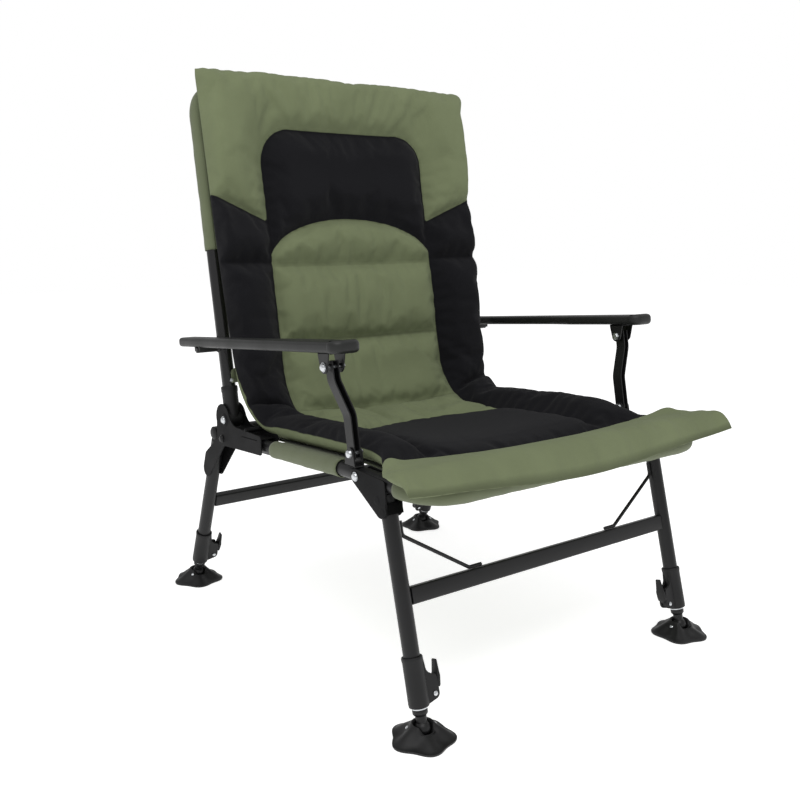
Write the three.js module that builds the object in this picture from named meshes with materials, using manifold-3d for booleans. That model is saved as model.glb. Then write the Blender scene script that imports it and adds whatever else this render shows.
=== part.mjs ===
// A folding carp fishing chair: a reclining padded seat on two swing-out leg frames with telescopic legs and mud feet.
// Millimetres and degrees. x runs to the sitter's left, y to the back and z up.
// The origin lies on the ground in the middle of the four feet.
import * as THREE from "three";
import { mergeVertices } from "three/addons/utils/BufferGeometryUtils.js";
import Module from "manifold-3d";

const wasm = await Module();
wasm.setup();

// Tubes and shared clearances
const tubeRadius = 12.5;
const tubeWall = 1.5;
const frameHalfWidth = 296;
const fit = 0.3;
const cutOverrun = 4;
const sheetThickness = 2.2;
const boltRadius = 3.8;
const boltHole = boltRadius + fit;
const boltHeadRadius = 6.6;
const boltHeadHeight = 4.6;
const tubeFacets = 12;
const boltFacets = 10;
const bendRings = 4;
const mergeTolerance = 1e-4;

// Seat frame
const railFrontHeight = 362;
const railBendY = -200;
const frontBarY = -397;
const frontCornerRadius = 58;
const railBendRadius = 260;
const crossTubeY = 249;
const railFall = 27;
const railRearHeight = railFrontHeight - railFall;
const crossTubeRise = 5;
const crossTubeHeight = railRearHeight + crossTubeRise;
const crossTubeOverhang = 14;
const plugHead = 4;
const plugSpigot = 12;

// Backrest, measured along the back tube from its hinge
const hingeY = 195;
const hingeRise = 13;
const hingeHeight = railFrontHeight + hingeRise;
const recline = 10.5;
const backBarHeight = 612;
const backCornerRadius = 52;
const backTubeStart = 17;
const socketTop = 62;
const socketRadius = 14.9;
const eyeRadius = 14.5;

// Armrest linkage: strut and back tube stay parallel
const strutFootY = -222;
const strutFootRise = 32;
const strutFootHeight = railFrontHeight + strutFootRise;
const linkBack = 26;
const linkRise = 130;
const strutFootOut = 7;
const strutTopOut = 27.5;
const strutFootX = frameHalfWidth + strutFootOut;
const strutTopX = frameHalfWidth + strutTopOut;
const strutWidth = 12;
const strutDepth = 20;
const strutBendLow = 58;
const strutBendHigh = 112;
const strutBendRadius = 36;
const armThickness = 17;
const armInnerOut = 18;
const armOuterOut = 56;
const armInnerX = frameHalfWidth + armInnerOut;
const armOuterX = frameHalfWidth + armOuterOut;
const armFrontY = -248;
const armRearY = 302;
const armFrontRise = 197;
const armFall = 47;
const armFrontHeight = railFrontHeight + armFrontRise;
const armRearHeight = armFrontHeight - armFall;
const armTipLength = 22;
const armTipStep = 2.5;
const armEdge = 3;
const pinRadius = 5;
const pinHole = pinRadius + fit;

// Leg frames
const footY = 382;
const ankleHeight = 17;
const frontLean = 14.8;
const rearLean = 21.5;
const frontPivotY = -236;
const rearPivotY = 207;
const frontCrossbarHeight = 200;
const rearCrossbarHeight = 187;
const crossbarHeight = 26;
const crossbarDepth = 15;
const crossbarWall = 1.3;
const braceRadius = 3;
const braceSpan = 130;
const braceFootX = frameHalfWidth - braceSpan;
const braceFootLength = 24;
const braceDrop = 56;
const braceHeight = railFrontHeight - braceDrop;
const braceEndLength = 22;
const braceBendRadius = 9;

// Telescopic legs, measured along the leg from the ankle ball
const ballRadius = 12;
const socketPlay = 0.8;
const socketRim = 4;
const neckRadius = 6.5;
const neckTop = 20;
const ferruleRadius = 11.6;
const ferruleTop = 27;
const innerLegRadius = 10.4;
const innerLegWall = 1.4;
const innerLegTop = 246;
const collarBottom = 31;
const collarTop = 101;
const collarRadius = 15;
const collarStep = 54;
const leverPivotX = 26;
const leverPivotRise = 42;
const earThickness = 4;
const earGap = 8.4;
const earRadius = 8;
const leverThickness = 4.5;
const leverWidth = 17;
const leverTip = 84;

// Mud feet
const footRadius = 50;
const footSkirt = 3.5;
const footHubRadius = 18.5;
const footHubHeight = 26;
const footConeRadius = 15.6;
const footShoulder = 11;
const footWaveShare = 0.07;
const footFacets = 20;

// Seat and back cloth, with the pad on it
const slingThickness = 1.6;
const padClearance = 1.6;
const seatSag = 34;
const seatRearY = 158;
const clothNotch = 23;
const backClothInset = 26;
const backSag = 30;
const padTop = 636;
const hipRadius = 115;
const backPadStart = 85;
const seatPadRear = 100;
const hipTaper = 165;
const hipPadThickness = 13;
const backPadThickness = 44;
const seatPadThickness = 34;
const frontSeamThickness = 30;
const seamShoulder = 60;
const rollThickness = 27;
const rollY = -335;
const rollFrontY = -375;
const barThickness = 26;
const frontThickness = 20;
const edgeRoll = 22;
const frontEdgeRoll = 12;
const hipEdgeRoll = 8;
const padEdgeShare = 0.16;
const padLowShare = 0.42;
const seamWidth = 13;
const frontSeamWidth = 20;
const seamDepthShare = 0.5;
const frontSeamDepthShare = 0.72;
const bolsterSeamX = 190;
const frontSeamY = -286;
const rearArcY = -32;
const rearArcReach = 40;
const channelHeights = [281, 131];
const headPanelTop = 538;
const diagonalHeight = 363;
const seatSwellY = 100;
const bolsterEndY = -180;
const bolsterEndRun = 90;
const bolsterRamp = 40;
const bolsterStart = 60;
const backSwellShare = 0.16;
const seatSwellShare = 0.3;
const wingReach = 54;
const wingHalfWidth = frameHalfWidth + wingReach;
const wingRise = 18;
const wrapRun = 30;
const wrapTurn = 100;
const wrapDrop = 13;
const sagRun = 150;
const backSagRun = 170;

const sides = [
  { name: "right", sign: -1 },
  { name: "left", sign: 1 },
];
const radians = THREE.MathUtils.degToRad;

// Materials
const steel = (color, roughness) =>
  new THREE.MeshStandardMaterial({ color, roughness, metalness: 0.7 });
const plastic = (color, roughness) =>
  new THREE.MeshStandardMaterial({ color, roughness, metalness: 0 });
const paintedSteel = steel("#33343a", 0.42);
const glossSteel = steel("#1d1e21", 0.25);
const zincSteel = steel("#b9bcc0", 0.3);
const blackPlastic = plastic("#25262a", 0.55);
const armPlastic = plastic("#3a3b3d", 0.6);
const blackCloth = plastic("#2f3035", 0.9);
const oliveCloth = plastic("#747c5f", 0.92);

const chair = new THREE.Group();

// Solids: a closed geometry becomes a manifold, so that pieces can be joined and cut.
function solid(geometry) {
  const bare = geometry.clone();
  bare.deleteAttribute("normal");
  bare.deleteAttribute("uv");
  const merged = mergeVertices(bare, mergeTolerance);
  return new wasm.Manifold(
    new wasm.Mesh({
      numProp: 3,
      vertProperties: new Float32Array(merged.attributes.position.array),
      triVerts: new Uint32Array(merged.index.array),
    }),
  );
}

function geometryOf(manifold) {
  const mesh = manifold.getMesh();
  const geometry = new THREE.BufferGeometry();
  geometry.setAttribute("position", new THREE.BufferAttribute(mesh.vertProperties, 3));
  geometry.setIndex(new THREE.BufferAttribute(mesh.triVerts, 1));
  geometry.computeVertexNormals();
  return geometry;
}

function join(...geometries) {
  return geometryOf(geometries.map(solid).reduce((whole, piece) => whole.add(piece)));
}

function cut(geometry, ...tools) {
  return geometryOf(tools.map(solid).reduce((rest, tool) => rest.subtract(tool), solid(geometry)));
}

function piece(parent, name, geometry, material) {
  const mesh = new THREE.Mesh(geometry, material);
  mesh.name = name;
  parent.add(mesh);
  return mesh;
}

// A rod along x, y or z between two places on that axis.
function rod(axis, radius, from, to, facets = boltFacets) {
  const geometry = new THREE.CylinderGeometry(radius, radius, to - from, facets);
  geometry.translate(0, (from + to) / 2, 0);
  if (axis === "x") geometry.rotateZ(-Math.PI / 2);
  if (axis === "z") geometry.rotateX(Math.PI / 2);
  return geometry;
}

function block(x, y, z) {
  const geometry = new THREE.BoxGeometry(x[1] - x[0], y[1] - y[0], z[1] - z[0]);
  return geometry.translate((x[0] + x[1]) / 2, (y[0] + y[1]) / 2, (z[0] + z[1]) / 2);
}

// A flat sheet in the y-z plane, from x = near to x = near + thickness. Outlines are lists of [y, z].
function sideSheet(outline, near, thickness) {
  const shape = new THREE.Shape(outline.map(([y, z]) => new THREE.Vector2(y, z)));
  const geometry = new THREE.ExtrudeGeometry(shape, { depth: thickness, bevelEnabled: false });
  const turn = new THREE.Matrix4().makeBasis(
    new THREE.Vector3(0, 1, 0),
    new THREE.Vector3(0, 0, 1),
    new THREE.Vector3(1, 0, 0),
  );
  return geometry.applyMatrix4(turn).translate(near, 0, 0);
}

// The outline that a band stretched round a few discs takes. Discs are [y, z, radius].
function bandOutline(discs, facets = 14) {
  const points = discs.flatMap(([y, z, radius]) =>
    Array.from({ length: facets }, (_, i) => {
      const turn = (i / facets) * 2 * Math.PI;
      return [y + radius * Math.cos(turn), z + radius * Math.sin(turn)];
    }),
  );
  points.sort((a, b) => a[0] - b[0] || a[1] - b[1]);
  const turnOf = (o, a, b) => (a[0] - o[0]) * (b[1] - o[1]) - (a[1] - o[1]) * (b[0] - o[0]);
  const half = (list) => {
    const chain = [];
    for (const point of list) {
      while (chain.length > 1 && turnOf(chain.at(-2), chain.at(-1), point) <= 0) chain.pop();
      chain.push(point);
    }
    return chain.slice(0, -1);
  };
  return [...half(points), ...half([...points].reverse())];
}

// A route of straight runs joined by arcs. Rings stand only at the ends and in the bends.
class BentRoute extends THREE.Curve {
  constructor(corners, radii, up) {
    super();
    this.stations = [{ at: corners[0], along: corners[1].clone().sub(corners[0]).normalize() }];
    for (let i = 1; i < corners.length - 1; i += 1) {
      const before = corners[i].clone().sub(corners[i - 1]).normalize();
      const after = corners[i + 1].clone().sub(corners[i]).normalize();
      const bend = before.angleTo(after);
      const radius = radii[i - 1];
      const start = corners[i].clone().addScaledVector(before, -radius * Math.tan(bend / 2));
      const inward = after.clone().addScaledVector(before, -after.dot(before)).normalize();
      const rings = Math.max(1, Math.round((bend / (Math.PI / 2)) * bendRings));
      for (let k = 0; k <= rings; k += 1) {
        const turn = (bend * k) / rings;
        const at = start
          .clone()
          .addScaledVector(before, radius * Math.sin(turn))
          .addScaledVector(inward, radius * (1 - Math.cos(turn)));
        const along = before.clone().multiplyScalar(Math.cos(turn));
        along.addScaledVector(inward, Math.sin(turn));
        this.stations.push({ at, along });
      }
    }
    const last = corners.length - 1;
    const along = corners[last].clone().sub(corners[last - 1]).normalize();
    this.stations.push({ at: corners[last], along });
    this.up = up;
  }

  get steps() {
    return this.stations.length - 1;
  }

  getSpacedPoints() {
    return this.stations.map((station) => station.at);
  }

  // The frame is carried along the route without twisting.
  computeFrenetFrames() {
    const tangents = this.stations.map((station) => station.along);
    const normals = [];
    const binormals = [];
    let normal = this.up.clone();
    for (const tangent of tangents) {
      normal = normal.addScaledVector(tangent, -normal.dot(tangent)).normalize().clone();
      normals.push(normal.clone());
      binormals.push(new THREE.Vector3().crossVectors(tangent, normal));
    }
    return { tangents, normals, binormals };
  }
}

const places = (rows) => rows.map(([x, y, z]) => new THREE.Vector3(x, y, z));

function ringShape(outer, inner, facets = tubeFacets) {
  const loop = (radius) =>
    Array.from({ length: facets }, (_, i) => {
      const turn = ((i + 0.5) / facets) * 2 * Math.PI;
      return new THREE.Vector2(radius * Math.cos(turn), radius * Math.sin(turn));
    });
  const shape = new THREE.Shape(loop(outer));
  if (inner) shape.holes.push(new THREE.Path(loop(inner).reverse()));
  return shape;
}

function sweep(shape, route) {
  return new THREE.ExtrudeGeometry(shape, { steps: route.steps, extrudePath: route });
}

function straightTube(outer, inner, from, to) {
  const route = new BentRoute(places([from, to]), [], new THREE.Vector3(0.31, 0.62, 0.71));
  return sweep(ringShape(outer, inner), route);
}

function roundedBox(width, height, corner) {
  const shape = new THREE.Shape();
  const x = width / 2 - corner;
  const y = height / 2 - corner;
  const steps = 2;
  const points = [];
  [[x, y, 0], [-x, y, 1], [-x, -y, 2], [x, -y, 3]].forEach(([cx, cy, quarter]) => {
    for (let i = 0; i <= steps; i += 1) {
      const turn = ((quarter + i / steps) * Math.PI) / 2;
      points.push(new THREE.Vector2(cx + corner * Math.cos(turn), cy + corner * Math.sin(turn)));
    }
  });
  return shape.setFromPoints(points);
}

// A closed sheet from two grids of points, its front and its back, with the rim sewn between them.
function shell(columns, rows, front, back) {
  const points = [];
  const faces = [];
  const index = (side, i, j) => (side * rows + j) * columns + i;
  for (const surface of [front, back])
    for (let j = 0; j < rows; j += 1)
      for (let i = 0; i < columns; i += 1) points.push(...surface(i, j));
  const quad = (a, b, c, d) => faces.push(a, b, c, a, c, d);
  for (let j = 0; j < rows - 1; j += 1)
    for (let i = 0; i < columns - 1; i += 1) {
      quad(index(0, i, j), index(0, i + 1, j), index(0, i + 1, j + 1), index(0, i, j + 1));
      quad(index(1, i, j), index(1, i, j + 1), index(1, i + 1, j + 1), index(1, i + 1, j));
    }
  const rim = [];
  for (let i = 0; i < columns - 1; i += 1) rim.push([i, 0]);
  for (let j = 0; j < rows - 1; j += 1) rim.push([columns - 1, j]);
  for (let i = columns - 1; i > 0; i -= 1) rim.push([i, rows - 1]);
  for (let j = rows - 1; j > 0; j -= 1) rim.push([0, j]);
  rim.forEach(([i, j], k) => {
    const [u, v] = rim[(k + 1) % rim.length];
    quad(index(1, i, j), index(1, u, v), index(0, u, v), index(0, i, j));
  });
  const geometry = new THREE.BufferGeometry();
  geometry.setAttribute("position", new THREE.Float32BufferAttribute(points, 3));
  geometry.setIndex(faces);
  geometry.computeVertexNormals();
  return geometry;
}

const smooth = (value) => THREE.MathUtils.smoothstep(value, 0, 1);

// Linear reading of a table of [place, value] rows.
function read(table, place) {
  const last = table.length - 1;
  if (place <= table[0][0]) return table[0][1];
  for (let i = 0; i < last; i += 1) {
    const [from, low] = table[i];
    const [to, high] = table[i + 1];
    if (place <= to) return low + ((high - low) * (place - from)) / (to - from);
  }
  return table[last][1];
}

// The radius of a bore that clears a rod at every turn of its facets
const boreRound = (radius, facets = tubeFacets) => (radius + fit) / Math.cos(Math.PI / facets);

// Places that several pieces share
const railSlope = (railFrontHeight - railRearHeight) / (crossTubeY - railBendY);
const railHeightAt = (y) => railFrontHeight - railSlope * Math.max(0, y - railBendY);
const tubeBore = tubeRadius - tubeWall;
const gussetNear = tubeRadius + fit;
const gussetFar = gussetNear + sheetThickness;
const cheekNear = socketRadius + 2 * fit;
const cheekFar = cheekNear + sheetThickness;
const rearPivotHeight = railHeightAt(rearPivotY);
const linkLength = Math.hypot(linkBack, linkRise);
const strutLean = -Math.atan2(linkBack, linkRise);
const armSlope = Math.atan2(armRearHeight - armFrontHeight, armRearY - armFrontY);

// A frame whose own z axis leans about x, standing at a place in the y-z plane
function leaningFrame(y, z, lean) {
  const frame = new THREE.Group();
  frame.position.set(0, y, z);
  frame.rotation.x = lean;
  chair.add(frame);
  frame.updateMatrixWorld(true);
  return frame;
}

const backFrame = leaningFrame(hingeY, hingeHeight, -radians(recline));
const frontFrame = leaningFrame(-footY, ankleHeight, -radians(frontLean));
const rearFrame = leaningFrame(footY, ankleHeight, radians(rearLean));
const strutFrame = leaningFrame(strutFootY, strutFootHeight, strutLean);
const armFrame = leaningFrame(strutFootY + linkBack, strutFootHeight + linkRise, armSlope);
const within = (frame, y, z) => frame.worldToLocal(new THREE.Vector3(0, y, z));

// Two like cheeks either side of a tube at x = middle
function cheeks(outline, middle, near) {
  return [
    sideSheet(outline, middle + near, sheetThickness),
    sideSheet(outline, middle - near - sheetThickness, sheetThickness),
  ];
}

function crossRod(radius, middle, reach, y, z, facets = boltFacets) {
  return rod("x", radius, middle - reach, middle + reach, facets).translate(0, y, z);
}

// A bolt across x at a place, its domed head outwards and its nut inwards
function bolt(middle, sign, reach, y, z) {
  const end = reach + fit;
  const span = (from, to) => [Math.min(from, to), Math.max(from, to)];
  const shaft = rod("x", boltRadius, middle - end - boltHeadHeight, middle + end + boltHeadHeight);
  const [headFrom, headTo] = span(middle + sign * end, middle + sign * (end + boltHeadHeight));
  const [nutFrom, nutTo] = span(middle - sign * end, middle - sign * (end + boltHeadHeight));
  const head = rod("x", boltHeadRadius, headFrom, headTo);
  const nut = rod("x", boltHeadRadius, nutFrom, nutTo, 6);
  return join(shaft, head, nut).translate(0, y, z);
}

function addSeatFrame() {
  const railEnd = crossTubeY - tubeRadius - fit;
  const corners = places([
    [-frameHalfWidth, railEnd, railHeightAt(railEnd)],
    [-frameHalfWidth, railBendY, railFrontHeight],
    [-frameHalfWidth, frontBarY, railFrontHeight],
    [frameHalfWidth, frontBarY, railFrontHeight],
    [frameHalfWidth, railBendY, railFrontHeight],
    [frameHalfWidth, railEnd, railHeightAt(railEnd)],
  ]);
  const radii = [railBendRadius, frontCornerRadius, frontCornerRadius, railBendRadius];
  const route = new BentRoute(corners, radii, new THREE.Vector3(0, 0, 1));
  const holes = sides.flatMap(({ sign }) => [
    crossRod(boltHole, sign * frameHalfWidth, gussetFar, frontPivotY, railFrontHeight),
    crossRod(boltHole, sign * frameHalfWidth, gussetFar, rearPivotY, rearPivotHeight),
  ]);
  const bentTube = sweep(ringShape(tubeRadius, tubeBore), route);
  piece(chair, "seat_tube", cut(bentTube, ...holes), paintedSteel);

  const reach = frameHalfWidth + crossTubeOverhang;
  const crossTube = straightTube(
    tubeRadius,
    tubeBore,
    [-reach, crossTubeY, crossTubeHeight],
    [reach, crossTubeY, crossTubeHeight],
  );
  piece(chair, "rear_cross_tube", crossTube, paintedSteel);

  for (const { name, sign } of sides) {
    const middle = sign * frameHalfWidth;
    const head = rod("x", tubeRadius, fit, fit + plugHead, tubeFacets);
    const spigotRadius = (tubeBore - fit) * Math.cos(Math.PI / tubeFacets);
    const plug = join(head, rod("x", spigotRadius, -plugSpigot, fit + plugHead / 2));
    if (sign < 0) plug.rotateZ(Math.PI);
    plug.translate(sign * reach, crossTubeY, crossTubeHeight);
    piece(chair, "cross_tube_plug_" + name, plug, blackPlastic);

    piece(chair, "recliner_bracket_" + name, reclinerBracket(middle), paintedSteel);
    const hinge = bolt(middle, sign, cheekFar, hingeY, hingeHeight);
    piece(chair, "recliner_hinge_bolt_" + name, hinge, zincSteel);

    piece(chair, "strut_lug_" + name, strutLug(sign), paintedSteel);
    const frontBolt = bolt(middle, sign, gussetFar, frontPivotY, railFrontHeight);
    piece(chair, "front_leg_pivot_bolt_" + name, frontBolt, zincSteel);
    const rearBolt = bolt(middle, sign, cheekFar, rearPivotY, rearPivotHeight);
    piece(chair, "rear_leg_pivot_bolt_" + name, rearBolt, paintedSteel);
  }
}

// A saddle over the rail: two cheeks, a web over the rail and a rivet, rising to the hinge lobe at the rear
function reclinerBracket(middle) {
  const lobeRadius = 27;
  const lobeBack = 7;
  const lobeRise = 2;
  const frontY = 60;
  const frontRadius = 6;
  const frontTop = hingeHeight - 8;
  const rearY = 220;
  const rearRadius = 9;
  const rearDrop = 4;
  const rivetY = 111;
  const rivetHeight = hingeHeight - 5;
  const rivetRadius = 4.2;
  const rivetHead = 1.8;
  const webFrom = 66;
  const webTo = 128;
  const outline = bandOutline([
    [hingeY + lobeBack, hingeHeight + lobeRise, lobeRadius],
    [frontY, frontTop, frontRadius],
    [frontY, railHeightAt(frontY) - frontRadius, frontRadius],
    [rearY, railHeightAt(rearY) - rearDrop, rearRadius],
  ]);
  const webMiddle = (webFrom + webTo) / 2;
  const webLength = webTo - webFrom;
  const web = block(
    [-cheekFar, cheekFar],
    [-webLength / 2, webLength / 2],
    [tubeRadius + fit, tubeRadius + fit + sheetThickness],
  );
  web.rotateX(-Math.atan(railSlope)).translate(middle, webMiddle, railHeightAt(webMiddle));
  const rivet = crossRod(rivetRadius, middle, cheekFar + rivetHead, rivetY, rivetHeight);
  const shell = join(...cheeks(outline, middle, cheekNear), web, rivet);
  return cut(
    shell,
    crossRod(boltHole, middle, cheekFar + cutOverrun, hingeY, hingeHeight),
    crossRod(boltHole, middle, cheekFar + cutOverrun, rearPivotY, rearPivotHeight),
  );
}

// A foot for the strut on top of the rail: a base plate, two cheeks and a riveted stud
function strutLug(sign) {
  const lugRadius = 9.5;
  const footSpread = 11;
  const footRounding = 2.6;
  const near = strutWidth / 2 + 2 * fit;
  const far = near + sheetThickness;
  const base = railFrontHeight + tubeRadius + fit;
  const middle = sign * strutFootX;
  const studRadius = boltRadius;
  const studHead = 5;
  const foot = footSpread + footRounding;
  const plate = block(
    [middle - far, middle + far],
    [strutFootY - foot, strutFootY + foot],
    [base, base + sheetThickness],
  );
  const outline = bandOutline([
    [strutFootY, strutFootHeight, lugRadius],
    [strutFootY - footSpread, base + footRounding, footRounding],
    [strutFootY + footSpread, base + footRounding, footRounding],
  ]);
  const stud = crossRod(studRadius, middle, far + studHead, strutFootY, strutFootHeight);
  const heads = [far + fit, -far - fit - studHead].map((from) =>
    rod("x", boltHeadRadius, middle + from - fit, middle + from + studHead).translate(
      0,
      strutFootY,
      strutFootHeight,
    ),
  );
  return join(plate, ...cheeks(outline, middle, near), stud, ...heads);
}

// How far cloth hangs below the line between the tubes: a parabola across them, dying away at the front bar
const clothTop = tubeRadius + 2 * fit + slingThickness;
const flatFromBar = 17;
const hangAcross = (x) => Math.max(0, 1 - (x / frameHalfWidth) ** 2);
const seatSagAt = (y, x) => seatSag * smooth((y - frontBarY - flatFromBar) / sagRun) * hangAcross(x);

function seatCloth() {
  const notched = frameHalfWidth - clothNotch;
  const halfWidths = [
    [-312, frameHalfWidth], [-300, notched], [-192, notched], [-180, frameHalfWidth], [20, frameHalfWidth], [36, notched],
  ];
  const rows = [seatRearY, 118, 77, 36, 20, -60, -120, -180, -192, -222, -250, -275, -300, -312, -334, -356, -380, frontBarY];
  const columns = 9;
  const surface = (lift) => (i, j) => {
    const y = rows[j];
    const x = read(halfWidths, y) * (1 - (2 * i) / (columns - 1));
    return [x, y, railHeightAt(y) + clothTop - lift - seatSagAt(y, x)];
  };
  const sheet = shell(columns, rows.length, surface(0), surface(slingThickness));
  const sleeve = ringShape(tubeRadius + fit + slingThickness, tubeRadius + fit);
  const up = new THREE.Vector3(0, 0, 1);
  const sleeves = [];
  const sleeveRear = 32;
  const sleeveFront = -180;
  const frontSleeve = -326;
  for (const { sign } of sides) {
    const ends = places([
      [sign * frameHalfWidth, sleeveRear, railHeightAt(sleeveRear)],
      [sign * frameHalfWidth, sleeveFront, railHeightAt(sleeveFront)],
    ]);
    sleeves.push(sweep(sleeve, new BentRoute(ends, [], up)));
  }
  const front = places([
    [-frameHalfWidth, frontSleeve, railFrontHeight],
    [-frameHalfWidth, frontBarY, railFrontHeight],
    [frameHalfWidth, frontBarY, railFrontHeight],
    [frameHalfWidth, frontSleeve, railFrontHeight],
  ]);
  sleeves.push(sweep(sleeve, new BentRoute(front, [frontCornerRadius, frontCornerRadius], up)));
  return join(sheet, ...sleeves);
}

// The mattress lies on one line in the y-z plane: down the back, round the hip and along the seat to the front bar.
// A place on the line is named by its run, the length from the top edge. Each leg has a length and a turn.
const padSupport = clothTop + padClearance;
const backHeading = -radians(90 + recline);
const railTurn = Math.atan(railSlope);
const padStart = backFrame.localToWorld(new THREE.Vector3(0, -padSupport, padTop));
const padLegs = padLine();
const barRun = padLegs.reduce((sum, leg) => sum + leg.length, 0);
const padLength = barRun + wrapRun;
const seatRun = (y) => barRun - (y - frontBarY);
const frontSeamRun = seatRun(frontSeamY);
const rearArcRun = seatRun(rearArcY);
const channelRuns = channelHeights.map((height) => padTop - height);
const headTopRun = padTop - headPanelTop;
const diagonalRun = padTop - diagonalHeight;
const backPadEnd = padTop - backPadStart;
const seatPadStart = seatRun(seatPadRear);

function padLine() {
  const [down, back] = [Math.sin(backHeading), Math.cos(backHeading)];
  const seatLine = railFrontHeight + padSupport - railSlope * (padStart.y - railBendY);
  const toCorner = (seatLine - padStart.z) / (down + railSlope * back);
  const hipTurn = -Math.PI - railTurn - backHeading;
  const hipTangent = hipRadius * Math.tan(-hipTurn / 2);
  const railTangent = railBendRadius * Math.tan(railTurn / 2);
  const slopeLength = (padStart.y + toCorner * back - railBendY) / Math.cos(railTurn);
  return [
    { length: toCorner - hipTangent, turn: 0 },
    { length: -hipTurn * hipRadius, turn: hipTurn },
    { length: slopeLength - hipTangent - railTangent, turn: 0 },
    { length: railTurn * railBendRadius, turn: railTurn },
    { length: railBendY - frontBarY - railTangent, turn: 0 },
  ];
}

function padPlace(run) {
  let { y, z } = padStart;
  let heading = backHeading;
  let left = run;
  for (const { length, turn } of padLegs) {
    const step = Math.min(left, length);
    const half = (turn * step) / length / 2;
    const chord = half ? (step * Math.sin(half)) / half : step;
    y += chord * Math.cos(heading + half);
    z += chord * Math.sin(heading + half);
    heading += 2 * half;
    left -= step;
  }
  return { y, z, heading };
}

// Over the front bar the rows turn about the bar, less and less towards the wings.
function padPoint(run, x, offset) {
  const wrap = Math.max(0, run - barRun) / wrapRun;
  const { y, z, heading } = padPlace(Math.min(run, barRun));
  const wing = smooth(Math.abs(x) / wingHalfWidth);
  const turned = heading + wrap * radians(wrapTurn) * (1 - 0.75 * wing);
  const lift = padSupport + offset;
  const axis = [y - padSupport * Math.sin(heading), z + padSupport * Math.cos(heading)];
  const drop = wrapDrop * wrap ** 3 * (1 - wing);
  return [x, axis[0] + lift * Math.sin(turned), axis[1] - lift * Math.cos(turned) - drop];
}

// How far the mattress reaches past the tubes: rows of run and length, with the wings as shares of their reach
const padReaches = [
  [0, 12], [36, 11], [206, 9], [306, 4], [436, -7], [536, -17], [600, -24], [seatRun(62), -24],
  [seatRun(30), -16], [seatRun(-246), -15], [seatRun(-268), -7], [seatRun(-300), wingReach * 0.17],
  [seatRun(-318), wingReach * 0.41], [seatRun(-340), wingReach * 0.74], [seatRun(-380), wingReach],
];
const padHalfWidthAt = (run) => frameHalfWidth + read(padReaches, run);
const padThicknesses = [
  [backPadEnd - hipTaper, backPadThickness], [backPadEnd, hipPadThickness],
  [seatPadStart, hipPadThickness], [seatPadStart + hipTaper, seatPadThickness],
  [frontSeamRun - seamShoulder, seatPadThickness], [frontSeamRun, frontSeamThickness],
  [seatRun(rollY), rollThickness], [seatRun(rollFrontY), rollThickness],
  [barRun, barThickness], [padLength, frontThickness],
];

// Columns of a pad: inner ones stand at set places, outer ones share the width between the bolster seam and the edge.
const innerColumns = [0, 85, 155, 178, bolsterSeamX];
const outerShares = [0.14, 0.5, 0.86, 1];

function padColumns(halfWidth) {
  const outer = outerShares.map((share) => bolsterSeamX + (halfWidth - bolsterSeamX) * share);
  const right = [...innerColumns, ...outer];
  return [...right.slice(1).reverse().map((x) => -x), ...right];
}

const seam = (distance, width, depth) => 1 - depth * Math.exp(-((distance / width) ** 2));

// Thickness of the mattress: panels swell between the seams, and the side bolsters a little more.
function padThicknessAt(run, x) {
  const across = Math.abs(x);
  const bolster = smooth((across - bolsterSeamX) / bolsterRamp) * smooth((run - diagonalRun) / bolsterStart);
  const ahead = smooth((run - seatRun(bolsterEndY)) / bolsterEndRun);
  const swell = run < seatRun(seatSwellY) ? backSwellShare : seatSwellShare;
  let thickness = read(padThicknesses, run) * (1 + swell * bolster * (1 - ahead));
  thickness *= seam(run - frontSeamRun, frontSeamWidth, frontSeamDepthShare);
  if (run > headTopRun && run < frontSeamRun) thickness *= seam(across - bolsterSeamX, seamWidth, seamDepthShare);
  if (across > bolsterSeamX + 1) return thickness;
  const arc = rearArcRun + rearArcReach * (x / bolsterSeamX) ** 2;
  [headTopRun, ...channelRuns, arc].forEach((place) => {
    thickness *= seam(run - place, seamWidth, seamDepthShare);
  });
  return thickness;
}

function padSagAt(run, x) {
  const most = backSag + (seatSag - backSag) * smooth((run - backPadEnd) / hipRadius);
  const ends = smooth((run - (padTop - backBarHeight)) / backSagRun);
  return most * ends * smooth((barRun - flatFromBar - run) / sagRun) * hangAcross(x);
}

// A pad between two runs, thinning to a rounded edge on all four sides
function padBetween(runs, rollStart, rollEnd) {
  const first = runs[0];
  const last = runs.at(-1);
  const round = (inside, roll) => Math.sqrt(1 - (1 - Math.min(1, inside / roll)) ** 2);
  const surface = (side) => (i, j) => {
    const run = runs[j];
    const halfWidth = padHalfWidthAt(run);
    const columns = padColumns(halfWidth);
    const x = columns[columns.length - 1 - i];
    const ends = round(run - first, rollStart) * round(last - run, rollEnd);
    const full = Math.max(padEdgeShare, ends) * Math.max(padEdgeShare, round(halfWidth - Math.abs(x), edgeRoll));
    const wing = Math.max(0, Math.abs(x) - frameHalfWidth) / wingReach;
    const low = padLowShare * read(padThicknesses, run);
    const rise = run > frontSeamRun ? wingRise * wing ** 1.5 : 0;
    const middle = low + rise - padSagAt(run, x);
    return padPoint(run, x, side === 0 ? middle + (padThicknessAt(run, x) - low) * full : middle - low * full);
  };
  return shell(2 * (innerColumns.length + outerShares.length) - 1, runs.length, surface(0), surface(1));
}

const aroundSeam = (run) => [run - 11, run, run + 11];

function seatPad() {
  const places = [30, -12, -32, -52, -72, -92, -125, -160, -200, -235, -262, -275, -286, -297, -312, -345, -375];
  const wraps = [0, 0.3, 0.6, 0.85, 1].map((share) => barRun + share * wrapRun);
  const start = seatPadStart;
  const runs = [start, start + 7, start + 30, seatRun(50), ...places.map(seatRun), ...wraps];
  return padBetween(runs, hipEdgeRoll, frontEdgeRoll);
}

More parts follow.
